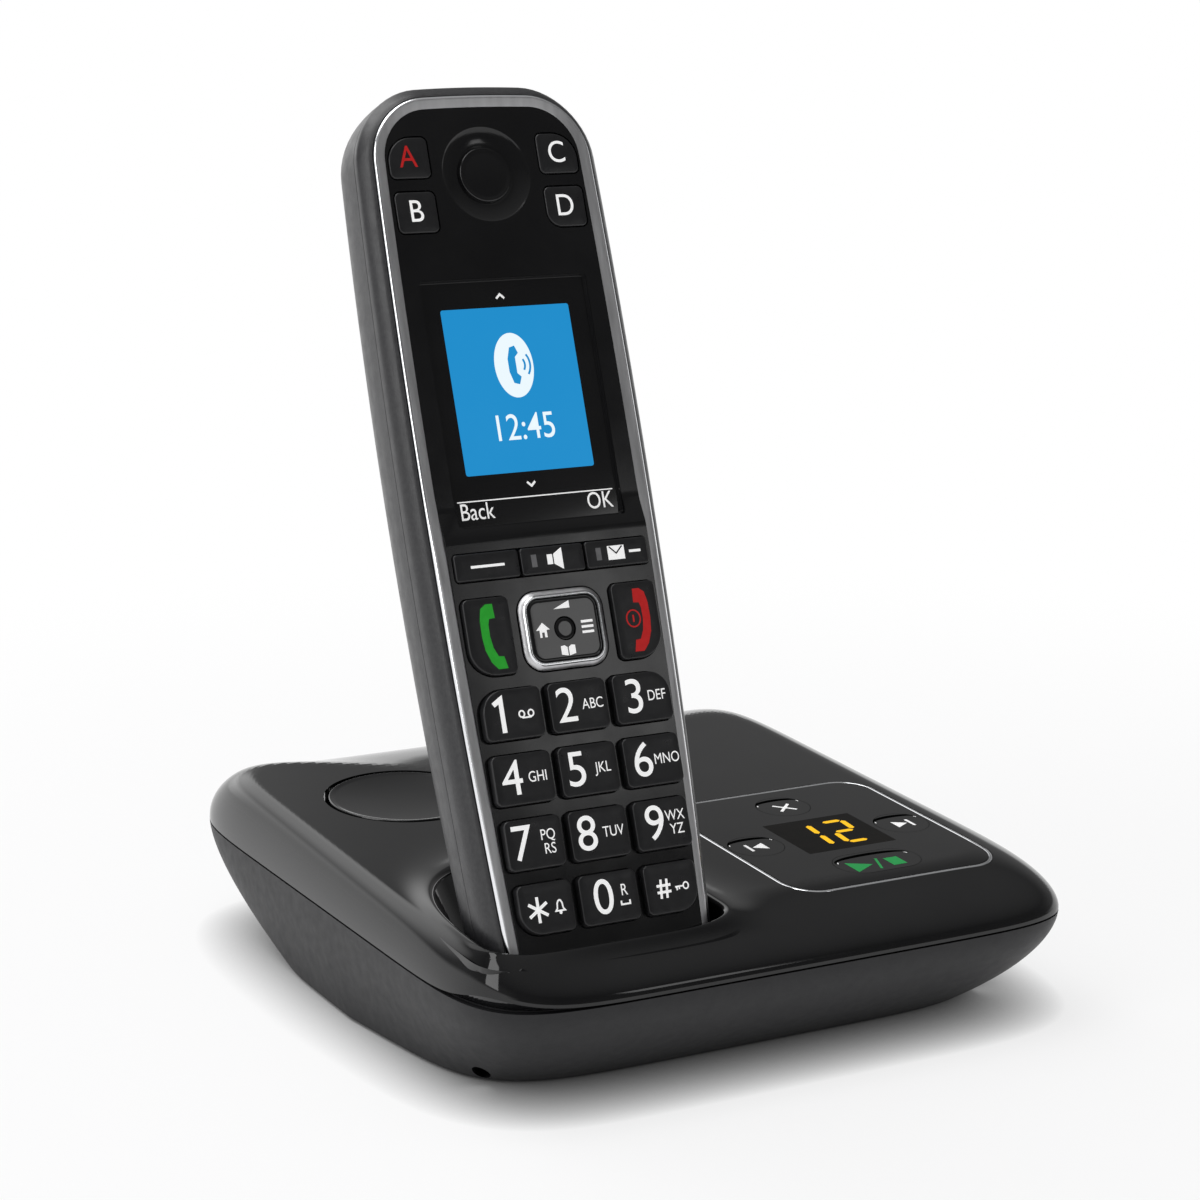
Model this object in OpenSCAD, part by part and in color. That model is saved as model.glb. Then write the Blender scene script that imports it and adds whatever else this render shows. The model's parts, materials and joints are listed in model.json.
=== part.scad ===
// Cordless phone standing in the cradle of its answering-machine base.
// Millimetres, +Z up. The origin lies on the floor under the middle of the base; the keypad faces -Y.
// Handset pieces are drawn lying flat: x across, y up from the lower end, z out of the face.

/* [Base] */
// Width of the base at its parting line
base_w = 136.4; // [134:0.4:150]
// Depth of the base at its parting line
base_d = 156.6; // [154:0.4:170]
// Height of the parting line above the floor
part_z = 22.4; // [21.6:0.2:23.4]
// Height of the top plane above the floor, over the middle of the base
top_z = 34.1; // [33.4:0.1:38]
// Slope of the top plane, rising towards the back, in degrees
top_rise = 2.5; // [1.5:0.1:3.5]
// Wall thickness of the two base shells
base_wall = 2.2; // [1.8:0.1:2.6]
// Open joint between the base shells
base_joint = 0.4; // [0.2:0.1:0.6]
// Height that the rubber feet stand out below the lower shell
foot_h = 0.8; // [0.5:0.1:1.4]

/* [Cradle] */
// Distance from the left edge of the base to the middle of the handset
cradle_side = 31.4; // [31.2:0.2:34]
// Distance from the front edge of the base to the lower front edge of the handset
cradle_front = 8.2; // [8:0.2:11]
// Depth of the handset's lower front edge below the top plane, taken over the middle of the base
cradle_sink = 14.8; // [14:0.2:15.4]
// Lean of the handset, backwards from upright, in degrees
lean = 20.1; // [18:0.1:22]
// Clearance between handset and cradle walls
cradle_gap = 0.9; // [0.6:0.1:1.1]
// Clearance between the lower end of the handset and the cradle floor
seat_gap = 0.3; // [0.2:0.05:0.5]
// Height of the raised lip around the cradle
lip_h = 2.2; // [1:0.1:3]
// How far the mouth of the cradle opens out behind the handset
mouth_back = 17; // [14:0.5:18.5]

/* [Handset] */
// Length of the handset
hs_len = 177; // [175:0.5:184]
// Width of the face at the outer edge of the trim band
face_w = 47.5; // [46.8:0.1:48.6]
// Thickness of the handset at its middle
hs_depth = 25; // [24:0.1:25.6]
// Bulge of the side band beyond the trim band
band_out = 2.4; // [2:0.1:2.7]
// Wall thickness of the handset shells
hs_wall = 1.8; // [1.6:0.1:2]
// Width of the silver trim band
trim_w = 2.4; // [2:0.1:2.6]
// Radius of the upper corners of the trim band
top_r = 12; // [10:0.5:13]

/* [Display] */
// Width of the display window
window_w = 35.3; // [34:0.1:36.4]
// Height of the display window
window_h = 47.5; // [46:0.1:48.4]
// Width of the lit screen
screen_w = 27.2; // [24:0.1:28]
// Height of the lit screen
screen_h = 32; // [28:0.1:33]

/* [Keys] */
// Column spacing of the number keys
key_pitch_x = 13.7; // [13.4:0.1:13.9]
// Row spacing of the number keys
key_pitch_y = 12.1; // [11.6:0.1:12.2]
// Width of a number key
key_w = 12.1; // [11.4:0.1:12.2]
// Length of a number key
key_l = 9.5; // [9:0.1:9.8]
// Height of the raised keypad field above the display
pad_h = 1.3; // [0.8:0.1:1.5]
// Height that the number keys stand out of the keypad field
key_h = 1.8; // [1:0.1:2]
// Clearance around each key
key_gap = 0.25; // [0.2:0.01:0.3]
// Travel of the handset keys
key_travel = 0.7; // [0.5:0.05:0.8]

/* [Answering machine panel] */
// Width of the outlined panel
panel_w = 49; // [48:0.2:50]
// Depth of the outlined panel
panel_d = 56; // [55:0.2:57]
// Radius of the small panel keys
panel_key_r = 5.8; // [5.2:0.1:6]
// Radius of the round paging key
paging_r = 16.3; // [14:0.1:16.6]
// Travel of the paging key
paging_travel = 1; // [0.6:0.1:1.2]

/* [Hidden] */
$fn = 48;
seat = 0.05;                     // running clearance between pieces that only touch

// ---- plain mathematics ----
function mix(a, b, t) = a + (b - a) * t;
function clamp(t) = min(1, max(0, t));
function spow(v, e) = sign(v) * pow(abs(v), e);

// Closed solid from rings of equal length; the first ring's cap faces down and the last one's up
module loft(rings) {
    n = len(rings[0]);
    m = len(rings);
    foot = [for (c = [0:2]) [for (p = rings[0]) p[c]] * [for (p = rings[0]) 1] / n];
    head = [for (c = [0:2]) [for (p = rings[m - 1]) p[c]] * [for (p = rings[m - 1]) 1] / n];
    walls = [for (i = [0:m - 2], j = [0:n - 1]) let (a = i * n + j, b = i * n + (j + 1) % n)
        each [[a, a + n, b + n], [a, b + n, b]]];
    foot_cap = [for (j = [0:n - 1]) [m * n, j, (j + 1) % n]];
    head_cap = [for (j = [0:n - 1]) [m * n + 1, (m - 1) * n + (j + 1) % n, (m - 1) * n + j]];
    polyhedron(concat([for (ring = rings) each ring], [foot, head]), concat(walls, foot_cap, head_cap));
}

// Closed hoop whose cross-section runs through the given loops: bottom going outwards, then up
module hoop(loops) {
    n = len(loops[0]);
    m = len(loops);
    polyhedron([for (ring = loops) each ring],
        [for (i = [0:m - 1], j = [0:n - 1])
            let (k = (j + 1) % n, a = i * n, b = (i + 1) % m * n)
            each [[a + j, b + j, b + k], [a + j, b + k, a + k]]]);
}

// Rounded box outline, anticlockwise; corner radii in the order lower left, lower right, upper right, upper left
function rounded(w, l, r, steps = 5) = [for (i = [0:3], s = [0:steps])
    let (a = 180 + 90 * i + 90 * s / steps, c = [[-1, -1], [1, -1], [1, 1], [-1, 1]][i])
    [c.x * (w / 2 - r[i]) + r[i] * cos(a), c.y * (l / 2 - r[i]) + r[i] * sin(a)]];
function grown(r, d) = [for (v = r) max(0.2, v + d)];

// ---- base: outlines and top surface ----
ring_n = 60;                     // points round the base shells
rim_power = 8.3;                 // squareness of the base outline at the parting line
foot_power = 5.9;                // squareness of the base outline at the floor
foot_in = [3.1, 20.3, 39.3];     // how far the sides, front and back draw in at the floor
hull_curve = 1.745;              // how quickly they draw in
hull_toe = 0.141;                // narrowing of the floor outline towards the front
roll = [3.5, 21.7, 46];          // width of the rounding along the sides, front and back of the top
slope = tan(top_rise);
half_w = base_w / 2;
half_d = base_d / 2;

function edge(t, a, b, n) = let (
    c = spow(cos(t), 0.5), s = spow(sin(t), 0.5),
    k = pow(pow(abs(c), n) + pow(abs(s), n), -1 / n)) [a * c * k, b * s * k];

function hull_ring(z, inset = 0) = let (
    u = pow(1 - clamp(z / part_z), hull_curve),
    front = half_d - foot_in[1] * u, back = half_d - foot_in[2] * u)
    [for (i = [0:ring_n - 1]) let (
        p = edge(360 * i / ring_n, half_w - foot_in[0] * u - inset,
            (front + back) / 2 - inset, mix(rim_power, foot_power, u)))
        [p.x * (1 + hull_toe * u * min(p.y, 0) / (half_d - 8)), p.y + (back - front) / 2, z]];

function plane_z(y) = top_z + slope * y;
function top_surface(x, y, inset = 0, rise = 0) = let (
    a = half_w - inset, b = half_d - inset,
    px = pow(abs(x / a), rim_power), py = pow(abs(y / b), rim_power),
    q = max(px + py, 1e-9),
    rho = pow(q, 1 / rim_power),
    turn = (px / q) * roll[0] / a + (py / q) * (y < 0 ? roll[1] : roll[2]) / b,
    k = clamp((1 - rho) / turn))
    part_z + (plane_z(y) + rise - inset - part_z) * sqrt(1 - (1 - k) * (1 - k));

// ---- handset frame ----
hs_at = [-half_w + cradle_side, -half_d + cradle_front, top_z - cradle_sink];
function stood(p) = hs_at + [p.x, p.y * sin(lean) - p.z * cos(lean), p.y * cos(lean) + p.z * sin(lean)];
module handset() {
    translate(hs_at)
    rotate([90 - lean, 0, 0])
    children();
}
module on_top(p) {
    translate([p.x, p.y, plane_z(p.y)])
    rotate([top_rise, 0, 0])
    children();
}

// ---- handset outline ----
end_narrow = 3;                  // narrowing of the half width towards the lower end
wide_y = 0.6 * hs_len;           // where the face is widest
low_r = 7;                       // radius of the lower corners of the trim band
crown = 1;                       // arch of the upper end
part_low = 8;                    // depth of the handset's parting line at its lower end
part_high = 4;                   // and at its upper end
thin_ends = 2.6;                 // how much thinner the handset is at its ends
face_t = hs_wall;                // thickness of the face plate
ledge = 0.6;                     // depth of the trim band's seat

function face_half(y) = face_w / 2 - end_narrow * pow((y - wide_y) / wide_y, 2);
function part_depth(y) = mix(part_low, part_high, y / hs_len);
function back_depth(y) = hs_depth - thin_ends * pow((y - 0.47 * hs_len) / (0.53 * hs_len), 2);
function flat_loop(d) = let (
    w = face_w / 2 + d, y0 = band_out - d, y1 = hs_len - band_out + d,
    rb = max(1.5, low_r + d), rt = max(2, top_r + d))
    concat(
        [for (s = [0:5]) [-w + rb - rb * cos(18 * s), y0 + rb - rb * sin(18 * s)]],
        [for (s = [0:5]) [w - rb + rb * sin(18 * s), y0 + rb - rb * cos(18 * s)]],
        [for (s = [1:5]) [w, mix(y0 + rb, y1 - rt, s / 6)]],
        [for (s = [0:5]) [w - rt + rt * cos(18 * s), y1 - rt + rt * sin(18 * s)]],
        [[0, y1]],
        [for (s = [0:5]) [-w + rt - rt * sin(18 * s), y1 - rt + rt * cos(18 * s)]],
        [for (s = [1:5]) [-w, mix(y1 - rt, y0 + rb, s / 6)]]);
// Rise of the face: level over the keypad, then a ramp down to the display
function face_rise(y) = pad_h * clamp((ramp_y[1] - y) / (ramp_y[1] - ramp_y[0]));
// Loop at distance d outside the trim band; depth = flat + shares of parting, back and face rise
function body_loop(d, depth) = [for (p = flat_loop(d)) let (
    x = p.x * face_half(p.y) / (face_w / 2),
    y = p.y - crown * pow(p.x / (face_w / 2), 2) * clamp((p.y - hs_len + 24) / 24))
    [x, y, (len(depth) > 3 ? depth[3] * face_rise(y) : 0)
        - depth[0] - depth[1] * part_depth(y) - depth[2] * back_depth(y)]];

// ---- places along the handset: its length is shared out between the groups of keys ----
soft_w = 12.6;
soft_l = 5.2;
call_w = 9.4;
call_l = 14.7;
side_w = 8.4;
side_l = 8;
side_x = 15.8;
side_pitch = 10.6;
// Bare lengths at the lower end, below the navigation key, below and above the soft keys,
// above the window and at the upper end: the least each needs and its share of the spare length
gap_least = [11.25, 1, 1.05, 1.2, 4.3, 8.7];
gap_spare = [3.2, 1.7, 2.3, 3.75, 5.05, 1.7];
gap_ones = [for (g = gap_least) 1];
spare = (hs_len - 3 * key_pitch_y - key_l - call_l - soft_l - window_h - side_pitch - side_l
    - gap_least * gap_ones) / (gap_spare * gap_ones);
function bare(i) = gap_least[i] + gap_spare[i] * spare;
row_y = bare(0) + key_l / 2;     // lowest row of number keys
nav_y = row_y + 3 * key_pitch_y + (key_l + call_l) / 2 + bare(1);
soft_y = nav_y + (call_l + soft_l) / 2 + bare(2);
ramp_y = [soft_y + 4.4, soft_y + 11.9];   // where the keypad field slopes down to the display
window_y = soft_y + (soft_l + window_h) / 2 + bare(3);
screen_y = window_y + 2.2;
key_b_y = window_y + (window_h + side_l) / 2 + bare(4);
key_a_y = key_b_y + side_pitch;
ear_y = key_a_y - 3.6;
ear_r = 9.3;                     // radius of the receiver's bowl
cap_r = 5.4;                     // radius of the receiver cap
flange = 0.8;                    // thickness of the keys' retaining flange
flange_out = 0.45;               // how far it reaches past the key
mat_z = -face_t - flange - key_travel - 0.3;
mat_t = 0.9;
mat_half = key_pitch_x + key_w / 2 - 1.35;
board_z = mat_z - mat_t;
board_t = 1.2;

// ---- cradle ----
face_y = (plane_z(hs_at.y) - hs_at.z) / (cos(lean) - slope * sin(lean));
back_y = (plane_z(hs_at.y + hs_depth * cos(lean)) - hs_at.z + hs_depth * sin(lean))
    / (cos(lean) - slope * sin(lean));
rim_front = stood([0, face_y - 3.6, pad_h + cradle_gap]).y;
rim_back = stood([0, back_y, -hs_depth]).y + mouth_back;
rim_mid = rim_front + 9.6;       // where the mouth is widest
rim_half = face_half(face_y) + band_out + cradle_gap + 1.2;
well_mid = -10.5;                // depth at which the well is widest
rim_round = 1.4;                 // rounding of the mouth's edge
mouth_power = 5.5;               // squareness of the mouth's front
well_power = 9;                  // squareness of the well's front
back_power = 2.5;                // squareness of both at the back

// Superellipse loop with unlike halves: x half width, front reach, back reach
function oval(t, half, front, back, power) = let (e = sin(t) < 0 ? power : back_power)
    [half * spow(cos(t), 2 / e), (sin(t) < 0 ? front : back) * spow(sin(t), 2 / e)];
function rim_point(t, out = 0) = let (
    p = oval(t, rim_half + out, rim_mid - rim_front + out, rim_back - rim_mid + out, mouth_power))
    [hs_at.x + p.x, rim_mid + p.y];
function rim_lift(t) = lip_h * (1 - pow(max(0, -sin(t)), 3));
// Level loop of the well: y above the handset's lower end, side, front and back reach
function well_ring(y, half, front, back, out = 0) = [for (i = [0:ring_n - 1]) let (
    p = oval(360 * i / ring_n, half + out, front - well_mid + out, well_mid - back + out, well_power))
    stood([p.x, y, well_mid - p.y])];

function top_ring(s, inset = 0, out = 0, drop = 0) = [for (i = [0:ring_n - 1]) let (
    t = 360 * i / ring_n,
    o = edge(t, half_w - inset, half_d - inset, rim_power),
    r = rim_point(t, out),
    p = o + (r - o) * s,
    gap = norm(p - r) / 6)
    [p.x, p.y, top_surface(p.x, p.y, inset, rim_lift(t) * exp(-pow(gap, 1.5))) - drop]];

well_half = face_half(8) + band_out + cradle_gap;
well_front = pad_h + cradle_gap;  // front wall of the well, out from the face
floor_half = well_half - 7;
floor_back = -16;

screw_spots = [[-1.5, 27.3 - half_d], [half_w - 9.6, -12], [9.6 - half_w, -2],
    [-14, half_d - 44.3], [40, half_d - 44.3]];
boss_r = 3;

// ---- panel places ----
panel_at = [half_w - 36.8, 43.7 - half_d];
delete_at = panel_at + [0.4, 18.2];
previous_at = panel_at + [-17.8, -0.9];
next_at = panel_at + [17.6, -0.9];
play_at = panel_at + [0, -18.4];
play_w = 19;
led_at = panel_at + [0.2, -0.2];
led_w = 20.8;
led_l = 18.5;
paging_at = [30.2 - half_w, half_d - 55.4];
paging_ring = 1;                 // open ring round the paging key
panel_r = 7;                     // corner radius of the outlined panel
play_r = 5.2;                    // corner radius of the wide key
play_l = 10.8;
function play_outline(d) = rounded(play_w + 2 * d, play_l + 2 * d, grown([play_r, play_r, play_r, play_r], d));

function rim_ring(out, drop) = [for (i = [0:ring_n - 1]) let (
    t = 360 * i / ring_n, p = rim_point(t, out))
    [p.x, p.y, top_surface(p.x, p.y, 0, rim_lift(t)) - drop]];
function panel_line(out, lift) = [for (p = rounded(panel_w + 2 * out, panel_d + 2 * out,
    [for (i = [0:3]) panel_r + out], 7)) let (x = panel_at.x + p.x, y = panel_at.y + p.y)
    [x, y, top_surface(x, y) + lift]];

// ---- charging contacts and their pins, in the handset frame ----
pin_x = 7.5;
pin_z = -10.5;
pin_r = 1.2;
contact_face = 0.15;              // contact plates lie this far above the handset's lower end
contact_w = 5;

// ---- inside the base ----
board_lift = 7;                  // underside of the main board above the floor
pcb_t = 1.6;
main_board_w = 102;
main_board_y = [half_d - 70.3, half_d - 25.3];
switch_h = 4;                    // switch under the paging key
speaker_at = [half_w - 40.2, -21];
speaker_r = 20;
panel_board_drop = 5.2;          // top of the panel board below the top plane
key_skirt = 3.4;                 // depth of the panel keys
socket_face = half_d - 17.3;                // rear face of the two sockets
line_at = 8;
power_at = -16;
paging_stem = plane_z(paging_at.y) - board_lift - pcb_t - switch_h - paging_travel - 0.4;
line_w = 15;
power_w = 9;
socket_h = 12;
vent_at = [half_w - 18.2, 26.3 - half_d, 5.5];         // small recess near each front corner of the lower shell
carrier_y = -7.6;                // lower face of the pins' carrier
carrier_t = 2.4;
foot_spots = [[22.2 - half_w, 36.3 - half_d], [half_w - 22.2, 36.3 - half_d],
    [half_w - 16.2, half_d - 52.3], [16.2 - half_w, half_d - 52.3]];
foot_r = 5;

// ---- keys of the handset ----
lens_t = 1.1;
lens_r = [2.5, 2.5, 3.5, 3.5];
nav_w = 17.2;
nav_l = 14.9;
nav_r = [4.5, 4.5, 4.5, 4.5];
center_r = 2.1;
key_steps = 3;
key_r = 1.2;                     // plain corner radius of a number key
wide_r = 4.4;                    // radius at the keypad's four outer corners
soft_pitch = 13.8;
// Keys: place, width, length, corner radii, height above the face
side_keys = [for (side = [-1, 1], y = [key_a_y, key_b_y])
    [[side * side_x, y], side_w, side_l,
        [side < 0 || y != key_b_y ? 1.2 : 3, 1.2, side > 0 && y == key_a_y ? 5 : 1.2,
            side < 0 && y == key_a_y ? 5 : 1.2], 0.3]];
soft_keys = [for (i = [-1:1]) [[i * soft_pitch, soft_y], soft_w, soft_l, [0.8, 0.8, 0.8, 0.8], pad_h + 0.7]];
call_keys = [for (side = [-1, 1]) [[side * 15.6, nav_y], call_w, call_l,
    side < 0 ? [5.2, 1.2, 1.2, 1.2] : [1.2, 5.2, 1.2, 1.2], pad_h + 1.2]];
// The outer columns stop short of the trim band, so their lower keys are narrower
function key_edge(row) = min(key_pitch_x + key_w / 2,
    face_half(row_y + row * key_pitch_y - key_l / 2) - trim_w - key_gap - 0.1);
number_keys = [for (row = [3:-1:0], i = [-1:1]) let (
    inner = key_pitch_x - key_w / 2,
    width = i == 0 ? key_w : key_edge(row) - inner)
    [[i * (inner + width / 2) * (i == 0 ? 0 : 1), row_y + row * key_pitch_y], width, key_l,
    [row == 0 && i < 0 ? wide_r : key_r, row == 0 && i > 0 ? wide_r : key_r,
        row == 3 && i > 0 ? wide_r : key_r, row == 3 && i < 0 ? wide_r : key_r], pad_h + key_h]];
key_list = concat(side_keys, soft_keys, call_keys, number_keys);

// ---- inside the handset ----
bay_y = [38, 86.4];              // inside length of the battery bay
bay_half = 12.6;
bay_floor = -11.2;               // inner floor of the bay, next to the circuit board
lid_y = [30, 100];               // ends of the battery cover's opening
lid_half = 17.5;
lid_gap = 0.2;
cell_r = 5.25;
cell_l = 44.5;
lid_plate_z = -20.15;             // plate around the battery bay
screw_sink = 3;                  // depth of the screw heads' seats
hs_screws = [[-10, 8.6], [10, 8.6], [-side_x, key_b_y - 8.6], [side_x, key_b_y - 8.6]];
grille_y = key_b_y - 24;         // middle of the handsfree loudspeaker

// ======== base ========
module base_top_cover() {
    color([0.10, 0.10, 0.11])
    difference() {
        union() {
            loft([
                well_ring(-seat_gap - base_wall, floor_half, -1, floor_back),
                well_ring(-0.4, well_half - 2.2, well_front - 0.3, -20.5, 0.8 * base_wall),
                well_ring(7, well_half, well_front, -hs_depth - cradle_gap, base_wall),
                rim_ring(base_wall, base_wall + 3),
                for (s = [1, 0.9, 0.7, 0.4, 0.15, 0.05, 0.02])
                    top_ring(s, base_wall, base_wall + rim_round),
                hull_ring(part_z + 1.8, base_wall),
                hull_ring(part_z + 1.8, 0.9),
                hull_ring(part_z, 0.9),
                for (s = [0, 0.004, 0.012, 0.03, 0.06, 0.11, 0.18, 0.28, 0.42, 0.6, 0.78, 0.9, 0.96, 1])
                    top_ring(s, 0, rim_round),
                rim_ring(0.4, 0.35),
                rim_ring(0, rim_round),
                well_ring(7, well_half, well_front, -hs_depth - cradle_gap),
                well_ring(1.6, well_half - 2.2, well_front - 0.3, -20.5),
                well_ring(-seat_gap, floor_half, -1, floor_back)
            ]);
            for (p = screw_spots)
                translate([p.x, p.y, part_z + 0.2])
                cylinder(r = boss_r, h = top_surface(p.x, p.y) - part_z - 0.5 * base_wall - 0.2);
            for (x = [-1, 1], y = [-1, 1])
                on_top(panel_at + [x * (panel_w / 2 - 5), y * (panel_d / 2 - 4.5)])
                translate([0, 0, -panel_board_drop])
                cylinder(r = 1.8, h = panel_board_drop - 1.5);
        }
        on_top(paging_at)
        translate([0, 0, -10])
        cylinder(r = paging_r + paging_ring, h = 20);
        for (p = [delete_at, previous_at, next_at])
            on_top(p)
            translate([0, 0, -panel_board_drop])
            cylinder(r = panel_key_r + key_gap, h = 10);
        on_top(play_at)
        translate([0, 0, -panel_board_drop])
        linear_extrude(10)
        polygon(play_outline(key_gap));
        on_top(led_at)
        translate([-led_w / 2 - seat, -led_l / 2 - seat, -panel_board_drop])
        cube([led_w + 2 * seat, led_l + 2 * seat, 10]);
        for (x = [-pin_x, pin_x])
            handset()
            translate([x, -5, pin_z])
            rotate([-90, 0, 0])
            cylinder(r = pin_r + 0.2, h = 8);
        hoop([panel_line(-0.55, -0.6), panel_line(0.55, -0.6), panel_line(0.55, 1), panel_line(-0.55, 1)]);
        for (p = screw_spots)
            translate([p.x, p.y, part_z - 1])
            cylinder(r = 1.25, h = 8.5);
    }
}

module base_bottom_shell() {
    color([0.20, 0.20, 0.21])
    difference() {
        union() {
            loft([
                for (z = [foot_h, 2.2, 4.4, 7.2, 11, 15, 19]) hull_ring(z),
                hull_ring(part_z - base_joint),
                hull_ring(part_z - base_joint, 1.1),
                hull_ring(part_z + 1.5, 1.1),
                hull_ring(part_z + 1.5, base_wall),
                for (z = [16, 11, 7]) hull_ring(z, base_wall + 0.2),
                hull_ring(4.6, base_wall + 0.8),
                hull_ring(foot_h + base_wall, base_wall + 2)
            ]);
            for (p = screw_spots)
                translate([p.x, p.y, foot_h + 1])
                cylinder(r = boss_r, h = part_z - foot_h - 1);
            for (x = [-1, 1], y = main_board_y)
                translate([x * (main_board_w / 2 - 6), y + (y == main_board_y[0] ? 4 : -5), foot_h + 1])
                cylinder(r = 2.5, h = board_lift - foot_h - 1);
        }
        for (p = screw_spots)
            translate([p.x, p.y, 0]) {
                cylinder(r = 1.6, h = part_z + 2);
                cylinder(r = 3.1, h = foot_h + 1.4);
            }
        for (p = foot_spots)
            translate([p.x, p.y, 0])
            cylinder(r = foot_r + seat, h = foot_h + 0.7);
        for (s = [-2:2])
            translate([speaker_at.x + 6 * s - 1, speaker_at.y - 12 + 2 * abs(s), 0])
            cube([2, 24 - 4 * abs(s), 5]);
        translate([line_at - line_w / 2 - 0.3, socket_face - 14, board_lift + pcb_t - 0.5])
        cube([line_w + 0.6, 40, socket_h + 1]);
        translate([power_at - power_w / 2 - 0.3, socket_face - 14, board_lift + pcb_t - 0.5])
        cube([power_w + 0.6, 40, socket_h + 1]);
        for (side = [-1, 1])
            translate([side * vent_at.x, vent_at.y, vent_at.z])
            rotate([90, 0, side * 40])
            cylinder(r = 1.6, h = 12, center = true);
    }
}

module panel_trim_line() {
    color([0.78, 0.79, 0.81])
    hoop([panel_line(-0.5, -0.55), panel_line(0.5, -0.55), panel_line(0.5, 0.1), panel_line(-0.5, 0.1)]);
}

module led_window() {
    color([0.05, 0.05, 0.05])
    on_top(led_at)
    translate([-led_w / 2, -led_l / 2, -1.5])
    cube([led_w, led_l, 1.5]);
}

module led_module() {
    color([0.35, 0.30, 0.08])
    on_top(led_at)
    translate([-7.5, -8.5, -panel_board_drop])
    cube([15, 17, panel_board_drop - 1.5 - seat]);
}

module panel_board() {
    color([0.10, 0.30, 0.16])
    on_top(panel_at)
    translate([0, 0, -panel_board_drop - pcb_t])
    linear_extrude(pcb_t)
    polygon(rounded(panel_w - 3.6, panel_d - 2, [3, 3, 3, 3], 4));
}

module paging_key() {
    color([0.10, 0.10, 0.11])
    on_top(paging_at) {
        rotate_extrude()
        polygon([[0, -4], [paging_r + 1.8, -4], [paging_r + 1.8, -3], [paging_r, -3], [paging_r, -0.5],
            [paging_r - 0.25, -0.1], [paging_r - 0.7, 0.1], [paging_r - 3, -0.25],
            [paging_r * 0.5, -0.55], [0, -0.7]]);
        translate([0, 0, -paging_stem])
        cylinder(r = 3, h = paging_stem - 3.5);
    }
}

module panel_key() {
    color([0.10, 0.10, 0.11])
    rotate_extrude()
    polygon([[0, -key_skirt], [panel_key_r + 0.6, -key_skirt], [panel_key_r + 0.6, -base_wall - 0.3],
        [panel_key_r, -base_wall - 0.3], [panel_key_r, -0.15], [panel_key_r - 0.15, 0], [0, 0]]);
}
module delete_key() {
    on_top(delete_at)
    panel_key();
}
module previous_key() {
    on_top(previous_at)
    panel_key();
}
module next_key() {
    on_top(next_at)
    panel_key();
}
module play_key() {
    color([0.10, 0.10, 0.11])
    on_top(play_at) {
        translate([0, 0, -base_wall - 0.4])
        linear_extrude(base_wall + 0.4)
        polygon(play_outline(0));
        translate([0, 0, -key_skirt])
        linear_extrude(key_skirt - base_wall - 0.3)
        polygon(play_outline(0.6));
    }
}

module main_board() {
    color([0.10, 0.30, 0.16])
    difference() {
        union() {
            translate([-main_board_w / 2, main_board_y[0], board_lift])
            cube([main_board_w, main_board_y[1] - main_board_y[0], pcb_t]);
            // switch under the paging key's stem
            translate([paging_at.x - 3, paging_at.y - 3, board_lift + pcb_t])
            cube([6, 6, switch_h]);
            // transformer and radio shield
            translate([20, main_board_y[0] + 6, board_lift + pcb_t])
            cube([12, 14, 9]);
            translate([-20, main_board_y[0] + 2, board_lift + pcb_t])
            cube([22, 16, 3]);
        }
        for (p = screw_spots)
            translate([p.x, p.y, 0])
            cylinder(r = boss_r + 0.5, h = part_z);
    }
}

module base_speaker() {
    color([0.15, 0.15, 0.16])
    translate([speaker_at.x, speaker_at.y, foot_h + base_wall + seat])
    rotate_extrude()
    polygon([[0, 3.2], [6, 2.2], [15, 0.9], [17, 0], [speaker_r, 0], [speaker_r, 1.2], [17, 1.6],
        [11.5, 5.5], [10, 5.5], [10, 9.5], [0, 9.5]]);
}

module contact_carrier() {
    color([0.25, 0.25, 0.26])
    handset()
    difference() {
        union() {
            translate([-13, carrier_y, pin_z - 4])
            cube([26, carrier_t, 8]);
            for (side = [-1, 1])
                translate([side * 12 - 1, carrier_y, pin_z - 4])
                cube([2, -seat_gap - base_wall - carrier_y, 8]);
        }
        for (x = [-pin_x, pin_x])
            translate([x, carrier_y - 1, pin_z])
            rotate([-90, 0, 0])
            cylinder(r = pin_r + 0.15, h = carrier_t + 2);
    }
}

module charge_pin(x) {
    color([0.85, 0.75, 0.45])
    handset()
    translate([x, 0, pin_z])
    rotate([-90, 0, 0]) {
        translate([0, 0, carrier_y + 0.5])
        cylinder(r = pin_r, h = contact_face - seat - carrier_y - 0.5);
        translate([0, 0, -seat_gap - base_wall - seat - 0.8])
        cylinder(r = 2.2, h = 0.8);
    }
}
module charge_pin_left() {
    charge_pin(-pin_x);
}
module charge_pin_right() {
    charge_pin(pin_x);
}

module power_socket() {
    color([0.08, 0.08, 0.08])
    translate([power_at, socket_face, board_lift + pcb_t])
    difference() {
        translate([-power_w / 2, -13, 0])
        cube([power_w, 13, 11]);
        translate([0, 0.01, 6])
        rotate([90, 0, 0])
        cylinder(r = 3.1, h = 10);
    }
}

module line_socket() {
    color([0.08, 0.08, 0.08])
    translate([line_at, socket_face, board_lift + pcb_t])
    difference() {
        translate([-line_w / 2, -13, 0])
        cube([line_w, 13, socket_h]);
        translate([-4.9, -11, 1.8])
        cube([9.8, 12, 7.4]);
        translate([-2.1, -11, 1])
        cube([4.2, 12, 2]);
    }
}

module rubber_feet() {
    color([0.05, 0.05, 0.05])
    for (p = foot_spots)
        translate([p.x, p.y, 0])
        cylinder(r = foot_r, h = foot_h + 0.7 - seat);
}

module base_screws() {
    color([0.70, 0.70, 0.72])
    for (p = screw_spots)
        translate([p.x, p.y, foot_h + 1.4 - 1.2]) {
            cylinder(r = 2.7, h = 1.2);
            cylinder(r = 1.2, h = part_z + 5 - foot_h);
        }
}

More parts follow.
